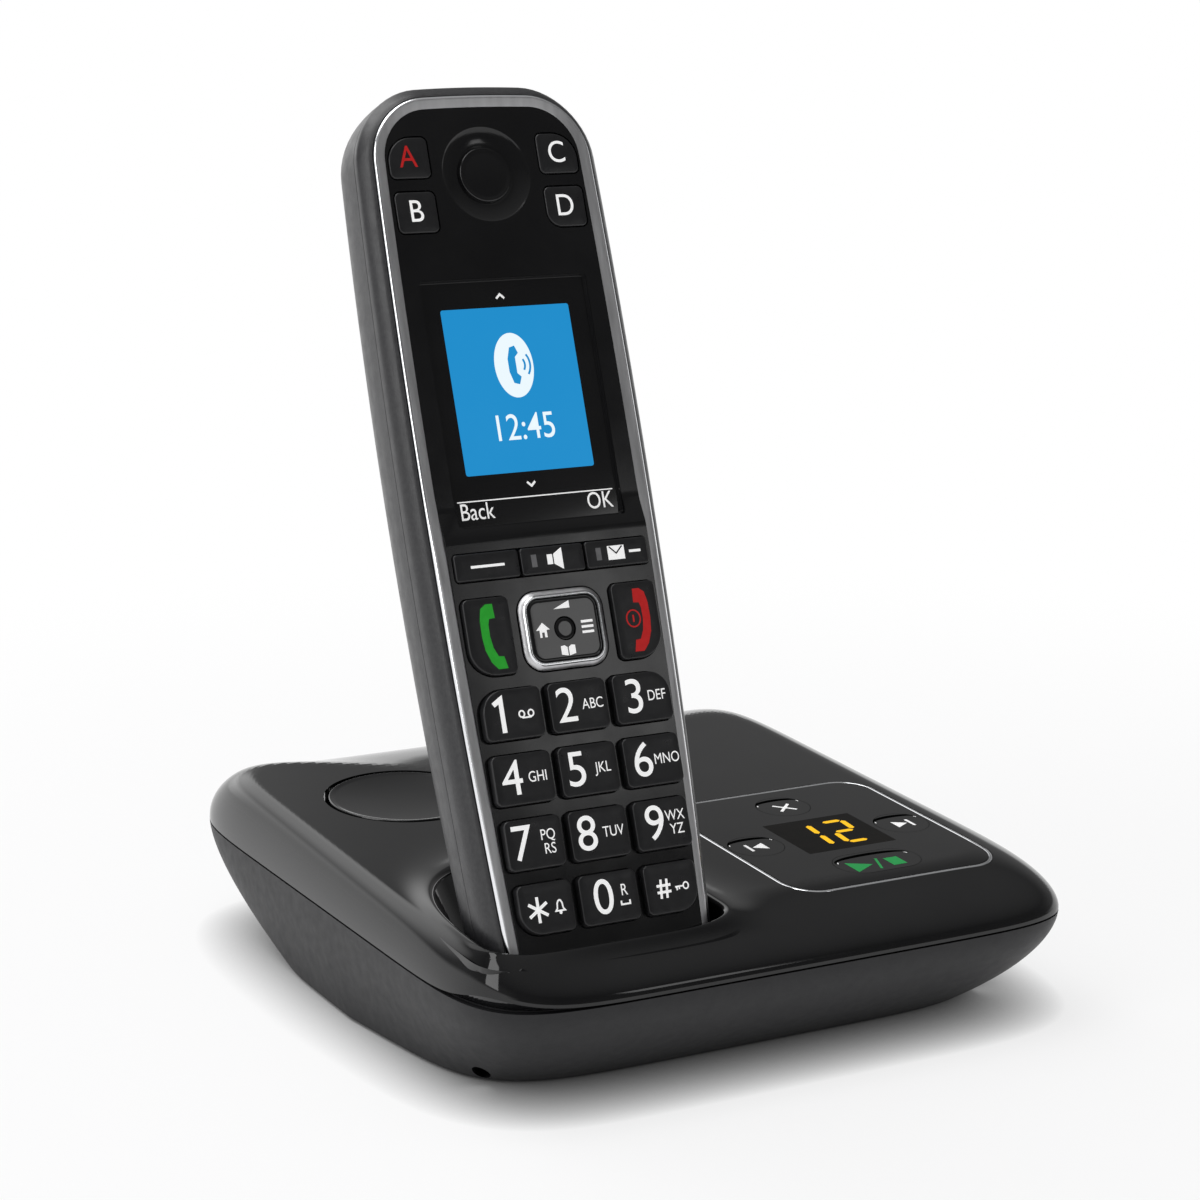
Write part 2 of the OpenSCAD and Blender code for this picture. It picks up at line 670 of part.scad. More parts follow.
// ======== handset: shells ========
module handset_front_cover() {
    color([0.07, 0.07, 0.08])
    handset()
    difference() {
        union() {
            loft([
                body_loop(-trim_w - 0.6, [face_t, 0, 0]),
                body_loop(band_out - hs_wall - 1.2, [face_t, 0, 0]),
                body_loop(band_out - hs_wall, [face_t + 1.2, 0, 0]),
                body_loop(band_out - hs_wall, [0, 1, 0]),
                body_loop(band_out, [0, 1, 0]),
                body_loop(band_out, [0.6, 0.55, 0]),
                body_loop(band_out - 0.5, [1.1, 0.2, 0]),
                body_loop(band_out - 1.4, [0.7, 0.04, 0]),
                body_loop(0.2, [0.3, 0, 0]),
                body_loop(0, [ledge, 0, 0]),
                body_loop(-trim_w, [ledge, 0, 0]),
                body_loop(-trim_w, [0, 0, 0])
            ]);
            keypad_field();
            for (p = hs_screws)
                translate([p.x, p.y, board_z + seat])
                cylinder(r = 2, h = -board_z - seat - face_t + 0.5);
        }
        for (k = key_list) key_hole(k);
        translate([0, nav_y, -face_t - 1])
        linear_extrude(face_t + pad_h + 2)
        polygon(rounded(nav_w + 2 * key_gap, nav_l + 2 * key_gap, grown(nav_r, key_gap)));
        // display window: rebate for the lens and opening for the screen
        translate([0, window_y, -lens_t - seat])
        linear_extrude(lens_t + pad_h + 1)
        polygon(rounded(window_w + 2 * seat, window_h + 2 * seat, lens_r));
        translate([0, screen_y, -face_t - 1])
        linear_extrude(face_t + pad_h + 2)
        polygon(rounded(screen_w + 2, screen_h + 2, [1, 1, 1, 1], 3));
        // receiver bowl and its opening
        translate([0, ear_y, 0])
        rotate_extrude()
        polygon([[0, -1], [cap_r + 0.1, -0.95], [cap_r + 0.1, -0.8], [ear_r - 1.8, -0.5], [ear_r, 0.02],
            [ear_r, 1], [0, 1]]);
        translate([0, ear_y, -face_t - 1])
        cylinder(r = cap_r - 1, h = face_t + 1);
        for (p = hs_screws)
            translate([p.x, p.y, board_z - 1])
            cylinder(r = 1, h = -board_z - 0.6 + 0.4);
    }
}

// Raised field that the keys stand in
module keypad_field() {
    intersection() {
        translate([0, 0, -0.5])
        linear_extrude(pad_h + 0.5)
        polygon([for (p = body_loop(-trim_w, [0, 0, 0])) [p.x, p.y]]);
        rotate([90, 0, 90])
        linear_extrude(face_w + 2, center = true)
        polygon([[0, -1], [ramp_y[1], -1], [ramp_y[1], 0], [ramp_y[0], pad_h], [0, pad_h]]);
    }
}

module rear_skin() {
    loft([
        body_loop(-14, [0, 0, 1]),
        body_loop(-9, [-0.55, 0, 1]),
        body_loop(-4, [-2.6, 0, 1]),
        body_loop(-0.5, [-6.3, 0, 1]),
        body_loop(1.6, [0, 0, 0.56]),
        body_loop(band_out - 0.1, [0, 0, 0.39]),
        body_loop(band_out, [0.15, 1, 0]),
        body_loop(band_out - hs_wall, [0.15, 1, 0]),
        body_loop(1.5 - hs_wall, [0, 0, 0.54]),
        body_loop(-0.6 - 0.9 * hs_wall, [-7, 0, 1]),
        body_loop(-4.2 - 0.7 * hs_wall, [-3.9, 0, 1]),
        body_loop(-9.4, [-0.5 - hs_wall, 0, 1]),
        body_loop(-14, [-hs_wall, 0, 1])
    ]);
}
module lid_zone(gap, low, high) {
    translate([-lid_half + gap, lid_y[0] + gap, low])
    cube([2 * (lid_half - gap), lid_y[1] - lid_y[0] - 2 * gap, high - low]);
}

module handset_rear_cover() {
    color([0.11, 0.11, 0.12])
    handset()
    difference() {
        union() {
            difference() {
                rear_skin();
                lid_zone(0, -hs_depth - 2, -hs_depth + 10);
            }
            // plate that carries the battery bay, behind the cover's opening
            difference() {
                union() {
                    translate([-lid_half - 1.3, bay_y[0] - 3, lid_plate_z])
                    cube([2 * lid_half + 2.6, bay_y[1] - bay_y[0] + 6, 1.2]);
                    translate([-bay_half - 1.2, bay_y[0] - 1.2, lid_plate_z])
                    cube([2 * bay_half + 2.4, bay_y[1] - bay_y[0] + 2.4, bay_floor + 1.2 - lid_plate_z]);
                }
                translate([-bay_half, bay_y[0], -hs_depth])
                cube([2 * bay_half, bay_y[1] - bay_y[0], bay_floor + hs_depth]);
            }
            for (p = hs_screws)
                translate([p.x, p.y, -back_depth(p.y) + 1.2])
                cylinder(r = 2.6, h = back_depth(p.y) - 1.2 + board_z - board_t - seat);
        }
        // grille of the handsfree loudspeaker
        for (s = [-2:2])
            translate([5 * s - 0.8, grille_y - 6 + 1.5 * abs(s), -hs_depth - 1])
            cube([1.6, 12 - 3 * abs(s), 6]);
        for (p = hs_screws)
            translate([p.x, p.y, -hs_depth - 1]) {
                cylinder(r = 2.2, h = hs_depth + 1 - back_depth(p.y) + screw_sink);
                cylinder(r = 1.1, h = hs_depth + 1);
            }
        // seats of the charging contacts
        for (x = [-pin_x, pin_x])
            translate([x - contact_w / 2 - seat, -1, pin_z - 2.5 - seat])
            cube([contact_w + 2 * seat, contact_face + 3.6, 5 + 2 * seat]);
        // microphone opening
        translate([0, -1, -9.5])
        rotate([-90, 0, 0])
        cylinder(r = 0.7, h = 6);
    }
}

module battery_cover() {
    color([0.11, 0.11, 0.12])
    handset() {
        difference() {
            intersection() {
                rear_skin();
                lid_zone(lid_gap, -hs_depth - 2, -hs_depth + 10);
            }
            // fingernail notch
            translate([0, lid_y[0] + 1, -hs_depth - 1.4])
            rotate([0, 90, 0])
            cylinder(r = 2, h = 9, center = true);
        }
        // two tabs that hook under the rear cover
        for (side = [-1, 1]) {
            translate([side * 8 - 2.5, lid_y[1] - 5, -back_depth(lid_y[1]) + hs_wall - 0.5])
            cube([5, 4.5, 1.6]);
            translate([side * 8 - 2.5, lid_y[1] - 5, -back_depth(lid_y[1]) + hs_wall + 0.65])
            cube([5, 6.5, 0.8]);
        }
    }
}

module handset_trim_band() {
    color([0.80, 0.81, 0.83])
    handset()
    hoop([
        body_loop(-trim_w + seat, [ledge, 0, 0]),
        body_loop(-seat, [ledge, 0, 0]),
        body_loop(-seat, [0.1, 0, 0]),
        body_loop(-0.5, [-0.3, 0, 0, 0.1]),
        body_loop(-trim_w + seat, [-0.3, 0, 0, 0.6])
    ]);
}

module receiver_cap() {
    color([0.10, 0.10, 0.11])
    handset()
    translate([0, ear_y, 0])
    rotate_extrude()
    polygon([[0, -0.8], [cap_r - 1.1, -0.8], [cap_r - 1.1, -0.95], [cap_r, -0.95], [cap_r, -0.4],
        [cap_r - 0.3, -0.2], [cap_r - 0.75, -0.4], [0, -0.4]]);
}

module display_lens() {
    color([0.12, 0.14, 0.16])
    handset()
    translate([0, window_y, -lens_t])
    linear_extrude(lens_t)
    polygon(rounded(window_w, window_h, lens_r));
}

module lcd_module() {
    color([0.15, 0.55, 0.80])
    handset()
    translate([-screen_w / 2 - 1.6, screen_y - screen_h / 2 - 3, board_z])
    cube([screen_w + 3.2, screen_h + 6, -board_z - face_t - seat]);
}

module keypad_mat() {
    color([0.55, 0.56, 0.58])
    handset()
    translate([0, 0, board_z])
    linear_extrude(mat_t) {
        difference() {
            translate([-mat_half, row_y - 6.8])
            square([2 * mat_half, soft_y - row_y + 11.6]);
            for (p = hs_screws)
                translate(p)
                circle(r = 2.4);
        }
        // pads under the side keys
        for (side = [-1, 1])
            translate([side * (side_x - 0.6) - 3.2, key_b_y - 3])
            square([6.4, side_pitch + 5.4]);
    }
}

module handset_board() {
    color([0.10, 0.30, 0.16])
    handset()
    translate([0, 0, board_z - board_t])
    linear_extrude(board_t)
    difference() {
        translate([0, hs_len / 2 - 2])
        polygon(rounded(face_w - 9.5, hs_len - 14, [6, 6, 11, 11]));
        for (p = hs_screws)
            translate([p.x, p.y])
            circle(r = 1.3);
    }
}

module battery_cells() {
    color([0.20, 0.42, 0.30])
    handset()
    for (side = [-1, 1])
        translate([side * 6, (bay_y[0] + bay_y[1] - cell_l) / 2, bay_floor - seat - cell_r])
        rotate([-90, 0, 0]) {
            cylinder(r = cell_r, h = cell_l - 1);
            cylinder(r = 1.9, h = cell_l);
        }
}

module battery_contacts() {
    color([0.80, 0.80, 0.78])
    handset()
    for (side = [-1, 1], far = [0, 1])
        translate([side * 6, far == 0 ? bay_y[0] + seat : bay_y[1] - seat, bay_floor - seat - cell_r])
        rotate([far == 0 ? -90 : 90, 0, 0]) {
            translate([-3.5, -3.5, 0])
            cube([7, 7, 0.5]);
            cylinder(r = 2.4, h = (bay_y[1] - bay_y[0] - cell_l) / 2 - 2 * seat);
        }
}

module earpiece_speaker() {
    color([0.20, 0.20, 0.21])
    handset()
    translate([0, ear_y, 0])
    rotate_extrude()
    polygon([[0, -4.2], [6.8, -4.2], [7.4, -3.4], [7.4, -face_t - seat], [5.6, -face_t - seat],
        [4, -face_t - 0.6], [0, -face_t - 0.4]]);
}

module handsfree_speaker() {
    color([0.20, 0.20, 0.21])
    handset()
    translate([0, grille_y, -back_depth(grille_y + 10) + hs_wall + 1.2])
    rotate_extrude()
    polygon([[0, 1.4], [4, 1], [8, 0.6], [9, 0], [10, 0], [10, 1.4], [7, 3.6], [5.5, 5], [0, 5]]);
}

module microphone() {
    color([0.60, 0.60, 0.60])
    handset()
    translate([0, 2.7, -9.5])
    rotate([-90, 0, 0])
    difference() {
        cylinder(r = 2, h = 1.8);
        translate([0, 0, -1])
        cylinder(r = 0.5, h = 1.6);
    }
}

module handset_contacts() {
    color([0.85, 0.75, 0.45])
    handset()
    for (x = [-pin_x, pin_x])
        translate([x - contact_w / 2, contact_face, pin_z - 2.5])
        cube([contact_w, 2.6, 5]);
}

module handset_screws() {
    color([0.70, 0.70, 0.72])
    handset()
    for (p = hs_screws)
        translate([p.x, p.y, -back_depth(p.y) + 0.6]) {
            cylinder(r = 2, h = screw_sink - 0.6 - seat);
            cylinder(r = 0.95, h = back_depth(p.y) - 0.6 - face_t + 0.3);
        }
}

// ======== handset: keys ========
// A key: place, width, length, corner radii, height above the face
module key_hole(k) {
    translate([k[0].x, k[0].y, -face_t - 1])
    linear_extrude(face_t + pad_h + 2)
    polygon(rounded(k[1] + 2 * key_gap, k[2] + 2 * key_gap, grown(k[3], key_gap), key_steps));
}
module key_solid(k) {
    under = -face_t - seat;
    out = flange_out;
    function ring(d, z) = [for (p = rounded(k[1] + 2 * d, k[2] + 2 * d, grown(k[3], d), key_steps))
        [k[0].x + p.x, k[0].y + p.y, z]];
    color([0.12, 0.12, 0.13])
    handset()
    loft([ring(out, under - flange), ring(out, under), ring(0, under), ring(0, k[4] - 0.5),
        ring(-0.4, k[4] - 0.1), ring(-1.1, k[4])]);
}

module nav_frame() {
    color([0.80, 0.81, 0.83])
    handset()
    translate([0, nav_y, -face_t - 0.6]) {
        linear_extrude(face_t + 0.6 + pad_h + 1.2)
        difference() {
            polygon(rounded(nav_w, nav_l, nav_r));
            polygon(rounded(nav_w - 3, nav_l - 3, grown(nav_r, -1.5)));
        }
    }
}

module nav_pad() {
    color([0.06, 0.06, 0.07])
    handset()
    translate([0, nav_y, -face_t - 0.8])
    difference() {
        linear_extrude(face_t + 0.8 + pad_h + 1.1)
        polygon(rounded(nav_w - 3.5, nav_l - 3.5, grown(nav_r, -1.75)));
        translate([0, 0, -1])
        cylinder(r = center_r + 0.2, h = 8);
    }
}

module nav_center_key() {
    color([0.15, 0.15, 0.16])
    handset()
    translate([0, nav_y, 0])
    rotate_extrude()
    polygon([[0, -face_t - 0.8], [center_r, -face_t - 0.8], [center_r, pad_h + 0.8],
        [center_r - 0.2, pad_h + 0.95], [0, pad_h + 0.9]]);
}

base_top_cover();
base_bottom_shell();
panel_trim_line();
led_window();
led_module();
panel_board();
paging_key();
delete_key();
previous_key();
next_key();
play_key();
main_board();
base_speaker();
contact_carrier();
charge_pin_left();
charge_pin_right();
power_socket();
line_socket();
rubber_feet();
base_screws();
handset_front_cover();
handset_rear_cover();
handset_trim_band();
receiver_cap();
display_lens();
lcd_module();
keypad_mat();
handset_board();
battery_cover();
battery_cells();
battery_contacts();
earpiece_speaker();
handsfree_speaker();
microphone();
handset_contacts();
handset_screws();
nav_frame();
nav_pad();
nav_center_key();
key_solid(key_list[0]);  // key_a
key_solid(key_list[1]);  // key_b
key_solid(key_list[2]);  // key_c
key_solid(key_list[3]);  // key_d
key_solid(key_list[4]);  // softkey_left
key_solid(key_list[5]);  // speaker_key
key_solid(key_list[6]);  // message_key
key_solid(key_list[7]);  // talk_key
key_solid(key_list[8]);  // end_key
key_solid(key_list[9]);  // key_1
key_solid(key_list[10]);  // key_2
key_solid(key_list[11]);  // key_3
key_solid(key_list[12]);  // key_4
key_solid(key_list[13]);  // key_5
key_solid(key_list[14]);  // key_6
key_solid(key_list[15]);  // key_7
key_solid(key_list[16]);  // key_8
key_solid(key_list[17]);  // key_9
key_solid(key_list[18]);  // key_star
key_solid(key_list[19]);  // key_0
key_solid(key_list[20]);  // key_hash
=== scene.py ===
"""Looks of the cordless phone and its base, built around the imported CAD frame."""

import json
import math
from math import cos, pi, radians, sin, tan

import bmesh
import bpy
from mathutils import Matrix, Vector
from mathutils.bvhtree import BVHTree
from mathutils.interpolate import poly_3d_calc


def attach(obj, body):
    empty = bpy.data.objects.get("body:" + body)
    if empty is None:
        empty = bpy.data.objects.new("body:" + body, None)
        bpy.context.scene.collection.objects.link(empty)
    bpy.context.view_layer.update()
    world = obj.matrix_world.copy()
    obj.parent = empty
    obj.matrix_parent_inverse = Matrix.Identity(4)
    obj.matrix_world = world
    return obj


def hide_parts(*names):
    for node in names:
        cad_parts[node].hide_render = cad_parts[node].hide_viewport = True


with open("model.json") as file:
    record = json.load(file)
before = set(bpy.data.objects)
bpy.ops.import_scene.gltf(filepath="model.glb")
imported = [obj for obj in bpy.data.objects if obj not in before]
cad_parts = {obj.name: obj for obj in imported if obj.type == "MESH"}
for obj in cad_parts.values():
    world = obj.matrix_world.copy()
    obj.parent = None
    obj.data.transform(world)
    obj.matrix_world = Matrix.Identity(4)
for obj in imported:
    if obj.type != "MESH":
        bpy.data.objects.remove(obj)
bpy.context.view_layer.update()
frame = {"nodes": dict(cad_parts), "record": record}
scene = bpy.context.scene
collection = scene.collection

# ---- sizes, in millimetres
BASE_W, BASE_D, PART_Z = 136.4, 156.6, 22.4
TOP_Z, TOP_RISE = 34.1, radians(2.5)
BASE_WALL, BASE_JOINT, FOOT_H = 2.2, 0.4, 0.8
CRADLE_SIDE, CRADLE_FRONT, CRADLE_SINK = 31.4, 8.2, 14.8
LEAN, CRADLE_GAP, SEAT_GAP = radians(20.1), 0.9, 0.3
LIP_H, MOUTH_BACK = 1.2, 17
HS_LEN, FACE_W, HS_DEPTH = 177, 47.5, 25
BAND_OUT, HS_WALL, TRIM_W = 2.4, 1.8, 2.4
LOW_R, TOP_R, CROWN = 7, 12, 24
FACE_TAPER, BACK_TAPER, PART_LOW, PART_HIGH = 3, 2.6, 8, 4
WINDOW_W, WINDOW_H, WINDOW_R = 35.3, 47.5, 0.8
SCREEN_W, SCREEN_H, LENS_SINK = 27.2, 32, 0.9
PITCH_X, PITCH_Y, KEY_W, KEY_L = 13.7, 12.1, 12.1, 9.5
PAD_H, KEY_H, KEY_GAP = 1.3, 1.8, 0.25
ROW_Y, NAV_Y, SOFT_Y, WINDOW_Y = 19.2, 70.3, 83.6, 114.9
KEY_B_Y, KEY_A_Y, RAMP_Y = 152, 162.6, (88, 95.5)
SCREEN_X, SCREEN_Y = -0.25, WINDOW_Y + 2.2
EAR_Y, EAR_R, CAP_R = HS_LEN - 18, 9.3, 5.4
SOFT_PITCH, SOFT_W, SOFT_L = 13.75, 13.3, 5.2
SIDE_X, SIDE_W, SIDE_L, CALL_X, CALL_W, CALL_L = 15.8, 8.4, 8, 15.6, 9.4, 14.7
NAV_W, NAV_L, NAV_R, CENTER_R = 17.9, 15.1, 4.0, 2.1
PANEL_W, PANEL_D, PANEL_R, PANEL_AT = 49, 56, 7, (31.4, -34.6)
DELETE_AT, PREVIOUS_AT = (31.8, -16.4), (13.6, -35.5)
NEXT_AT, PLAY_AT = (49, -35.5), (31.4, -53)
PANEL_KEY_R, PLAY_W, PLAY_L, PLAY_R = 5.8, 19, 10.8, 5.2
LED_AT, LED_W, LED_L = (31.6, -34.8), 20.8, 18.5
PAGING_AT, PAGING_R, PAGING_RING = (-38, 22.9), 16.3, 1
PIN_X, PIN_Z = 7.5, -10.5
LID_Y, LID_HALF, LID_GAP = (30, 100), 17.5, 0.2
PRINT_H = 0.02  # height of all print over the face below it
HALF_W, HALF_D, SLOPE = BASE_W / 2, BASE_D / 2, tan(TOP_RISE)


# ---- plain mathematics
def mix(a, b, t):
    return a + (b - a) * t


def clamp(t):
    return min(1.0, max(0.0, t))


def spow(v, e):
    return math.copysign(abs(v) ** e, v)


def shares(n):
    """0 to 1 in n equal steps."""
    return [i / n for i in range(n + 1)]


def circle(x, y, r, n, ry=None):
    return [(x + r * cos(2 * pi * i / n), y + (ry or r) * sin(2 * pi * i / n)) for i in range(n)]


def arc(x, y, r, start, end, n, ry=None):
    """Arc from start to end, in degrees, with n steps."""
    turns = [radians(mix(start, end, t)) for t in shares(n)]
    return [(x + r * cos(a), y + (ry or r) * sin(a)) for a in turns]


def edge(t, a, b, n):
    """Point at parameter t of a superellipse with half axes a and b and power n."""
    c, s = spow(cos(t), 0.5), spow(sin(t), 0.5)
    k = (abs(c) ** n + abs(s) ** n) ** (-1 / n)
    return Vector((a * c * k, b * s * k))


# ---- base: form
RING = 300  # points round the base shells
ANGLES = [2 * pi * i / RING for i in range(RING)]
RIM_POWER, FOOT_POWER, HULL_CURVE = 8.3, 5.9, 1.745
FOOT_IN_SIDE, FOOT_IN_FRONT, FOOT_IN_BACK = 3.1, 20.3, 39.3
HULL_TOE, TOE_D = 0.141, HALF_D - 8
ROLL_LEFT, ROLL_RIGHT, ROLL_FRONT, ROLL_BACK = 4.5, 11.5, 21.7, 46


def hull_ring(z, inset=0.0):
    """Ring of the lower shell at height z."""
    u = (1 - clamp(z / PART_Z)) ** HULL_CURVE
    front, back = HALF_D - FOOT_IN_FRONT * u, HALF_D - FOOT_IN_BACK * u
    ring = []
    for t in ANGLES:
        p = edge(t, HALF_W - FOOT_IN_SIDE * u - inset, (front + back) / 2 - inset,
                 mix(RIM_POWER, FOOT_POWER, u))
        ring.append(Vector((p.x * (1 + HULL_TOE * u * min(p.y, 0) / TOE_D), p.y + (back - front) / 2, z)))
    return ring


def plane_z(y):
    return TOP_Z + SLOPE * y


def top_surface(x, y, inset=0.0):
    """Height of the top cover, which rolls over towards each of its four sides."""
    a, b = HALF_W - inset, HALF_D - inset
    px, py = abs(x / a) ** RIM_POWER, abs(y / b) ** RIM_POWER
    q = max(px + py, 1e-9)
    rho = q ** (1 / RIM_POWER)
    side = ROLL_LEFT if x < 0 else ROLL_RIGHT
    turn = (px / q) * side / a + (py / q) * (ROLL_FRONT if y < 0 else ROLL_BACK) / b
    k = clamp((1 - rho) / turn)
    return PART_Z + (plane_z(y) - inset - PART_Z) * math.sqrt(max(0.0, 1 - (1 - k) ** 2))


HS_AT = Vector((-HALF_W + CRADLE_SIDE, -HALF_D + CRADLE_FRONT, TOP_Z - CRADLE_SINK))
STOOD = Matrix.Translation(HS_AT) @ Matrix.Rotation(pi / 2 - LEAN, 4, "X")
LAID = Matrix.Rotation(pi / 2, 4, "X")


def stood(x, y, z):
    """Point of the standing handset, from its place across, along and out of the face."""
    return STOOD @ Vector((x, y, z))


def place(x, y, z=0.0):
    return Matrix.Translation((x, y, z))


def on_face(x, y, z=0.0):
    return STOOD @ place(x, y, z)


def on_top(p):
    return place(p[0], p[1], plane_z(p[1])) @ Matrix.Rotation(TOP_RISE, 4, "X")


# ---- handset: form
def face_half(y):
    return FACE_W / 2 - FACE_TAPER * ((y - 0.6 * HS_LEN) / (0.6 * HS_LEN)) ** 2


def part_depth(y):
    return mix(PART_LOW, PART_HIGH, y / HS_LEN)


def back_depth(y):
    return HS_DEPTH - BACK_TAPER * ((y - 0.47 * HS_LEN) / (0.53 * HS_LEN)) ** 2


def face_rise(y):
    return PAD_H * clamp((RAMP_Y[1] - y) / (RAMP_Y[1] - RAMP_Y[0]))


def flat_loop(d):
    """Outline of the face grown by d, from the lower left corner on."""
    w, y0, y1 = FACE_W / 2 + d, BAND_OUT - d, HS_LEN - BAND_OUT + d
    rb, rt = min(max(1.5, LOW_R + d), w), min(max(2, TOP_R + d), w)
    quarter = [pi / 2 * t for t in shares(14)]
    end, side = shares(10)[1:-1], shares(40)[1:-1]
    loop = [(-w + rb - rb * cos(a), y0 + rb - rb * sin(a)) for a in quarter]
    loop += [(mix(-w + rb, w - rb, t), y0) for t in end]
    loop += [(w - rb + rb * sin(a), y0 + rb - rb * cos(a)) for a in quarter]
    loop += [(w, mix(y0 + rb, y1 - rt, t)) for t in side]
    loop += [(w - rt + rt * cos(a), y1 - rt + rt * sin(a)) for a in quarter]
    loop += [(mix(w - rt, -w + rt, t), y1) for t in end]
    loop += [(-w + rt - rt * sin(a), y1 - rt + rt * cos(a)) for a in quarter]
    loop += [(-w, mix(y1 - rt, y0 + rb, t)) for t in side]
    return loop


def body_loop(d, drop=0.0, part=0.0, back=0.0, rise=0.0):
    """Loop round the handset: drop below the face, plus shares of the parting depth, of the
    back's depth and of the keypad's rise."""
    ring = []
    for px, py in flat_loop(d):
        x = px * face_half(py) / (FACE_W / 2)
        y = py - (px / (FACE_W / 2)) ** 2 * clamp((py - HS_LEN + CROWN) / CROWN)
        ring.append(Vector((x, y, rise * face_rise(y) - drop - part * part_depth(y) - back * back_depth(y))))
    return ring


# ---- cradle: form
STEEP = cos(LEAN) - SLOPE * sin(LEAN)
FACE_Y = (plane_z(HS_AT.y) - HS_AT.z) / STEEP
BACK_Y = (plane_z(HS_AT.y + HS_DEPTH * cos(LEAN)) - HS_AT.z + HS_DEPTH * sin(LEAN)) / STEEP
RIM_FRONT = stood(0, FACE_Y - 3.6, PAD_H + CRADLE_GAP).y
RIM_BACK = stood(0, BACK_Y, -HS_DEPTH).y + MOUTH_BACK
RIM_MID = RIM_FRONT + 9.6
RIM_HALF = face_half(FACE_Y) + BAND_OUT + CRADLE_GAP + 0.5
RIM_ROUND, MOUTH_POWER, WELL_POWER, BACK_POWER = 1.1, 5.5, 9, 2.5
WELL_MID, WELL_HALF = -10.5, face_half(8) + BAND_OUT + CRADLE_GAP
WELL_FRONT = PAD_H + CRADLE_GAP
FLOOR_HALF, FLOOR_FRONT, FLOOR_BACK = WELL_HALF - 7, -1, -16
SHELF_HALF, SHELF_FRONT, SHELF_BACK = WELL_HALF - 2.2, WELL_FRONT - 0.3, -20.5
LIP_REACH = 6  # how far the lip's swell runs out into the cover


def oval(t, half, front, back, power):
    e = power if sin(t) < 0 else BACK_POWER
    return half * spow(cos(t), 2 / e), (front if sin(t) < 0 else back) * spow(sin(t), 2 / e)


def rim_point(t, out=0.0):
    x, y = oval(t, RIM_HALF + out, RIM_MID - RIM_FRONT + out, RIM_BACK - RIM_MID + out, MOUTH_POWER)
    return Vector((HS_AT.x + x, RIM_MID + y))


def rim_rise(t, p, inset=0.0):
    """How far the mouth's edge stands over the rolled surface below it."""
    lift = LIP_H * (1 - max(0.0, -sin(t)) ** 3)
    return plane_z(p.y) + lift - inset - top_surface(p.x, p.y, inset)


def well_ring(y, half, front, back, out=0.0):
    """Ring of the cradle's well at y along the handset."""
    ring = []
    for t in ANGLES:
        px, py = oval(t, half + out, front - WELL_MID + out, WELL_MID - back + out, WELL_POWER)
        ring.append(stood(px, y, WELL_MID - py))
    return ring


def top_ring(s, inset=0.0, out=0.0):
    """Ring on the cover, s from 0 at its outer edge to 1 at the mouth."""
    ring = []
    for t in ANGLES:
        o, r = edge(t, HALF_W - inset, HALF_D - inset, RIM_POWER), rim_point(t, out)
        p = o + (r - o) * s
        fade = math.exp(-((p - r).length / LIP_REACH) ** 1.5)
        ring.append(Vector((p.x, p.y, top_surface(p.x, p.y, inset) + rim_rise(t, r, inset) * fade)))
    return ring


def rim_ring(out, drop):
    ring = []
    for t in ANGLES:
        p = rim_point(t, out)
        ring.append(Vector((p.x, p.y, top_surface(p.x, p.y) + rim_rise(t, p) - drop)))
    return ring


# ---- materials
def set_inputs(n, values):
    for key, value in values:
        n.inputs[key].default_value = value
    return n


def shader_node(tree, kind, values=(), **settings):
    """New node with its settings, such as an operation, and its inputs' values."""
    n = tree.nodes.new(kind)
    for key, value in settings.items():
        setattr(n, key, value)
    return set_inputs(n, values)


def material(name, color, rough, tint=None, tint_scale=60.0, metallic=0.0, specular=0.5, glow=None,
             swing=None, grain=None, stretch=(1, 1, 1)):
    """Principled material whose colour drifts to a tint. swing is the range and scale of its roughness,
    grain the strength and scale of its bump; scales are per metre."""
    m = bpy.data.materials.new(name)
    m.use_nodes = True
    tree = m.node_tree
    link = tree.links.new
    shader = set_inputs(tree.nodes["Principled BSDF"], [
        ("Base Color", (*color, 1)), ("Roughness", rough), ("Metallic", metallic),
        ("Specular IOR Level", specular)])
    if glow:
        set_inputs(shader, [("Emission Color", (*glow, 1)), ("Emission Strength", 1.0)])
    where = shader_node(tree, "ShaderNodeTexCoord")
    spread = shader_node(tree, "ShaderNodeMapping", [("Scale", stretch)])
    link(where.outputs["Object"], spread.inputs["Vector"])

    def noise(scale, detail=3.0):
        n = shader_node(tree, "ShaderNodeTexNoise", [("Scale", scale), ("Detail", detail)])
        link(spread.outputs["Vector"], n.inputs["Vector"])
        return n.outputs["Fac"]

    if tint:
        ramp = shader_node(tree, "ShaderNodeValToRGB")
        for stop, at, paint in zip(ramp.color_ramp.elements, (0.35, 0.65), (color, tint)):
            stop.position, stop.color = at, (*paint, 1)
        link(noise(tint_scale), ramp.inputs["Fac"])
        link(ramp.outputs["Color"], shader.inputs["Base Color"])
    if swing:
        span = shader_node(tree, "ShaderNodeMapRange", [
            ("From Min", 0.3), ("From Max", 0.7), ("To Min", rough - swing[0]), ("To Max", rough + swing[0])])
        link(noise(swing[1]), span.inputs["Value"])
        link(span.outputs["Result"], shader.inputs["Roughness"])
    if grain:
        bump = shader_node(tree, "ShaderNodeBump", [("Strength", grain[0]), ("Distance", 0.0001)])
        link(noise(grain[1], 2.0), bump.inputs["Height"])
        link(bump.outputs["Normal"], shader.inputs["Normal"])
    return m


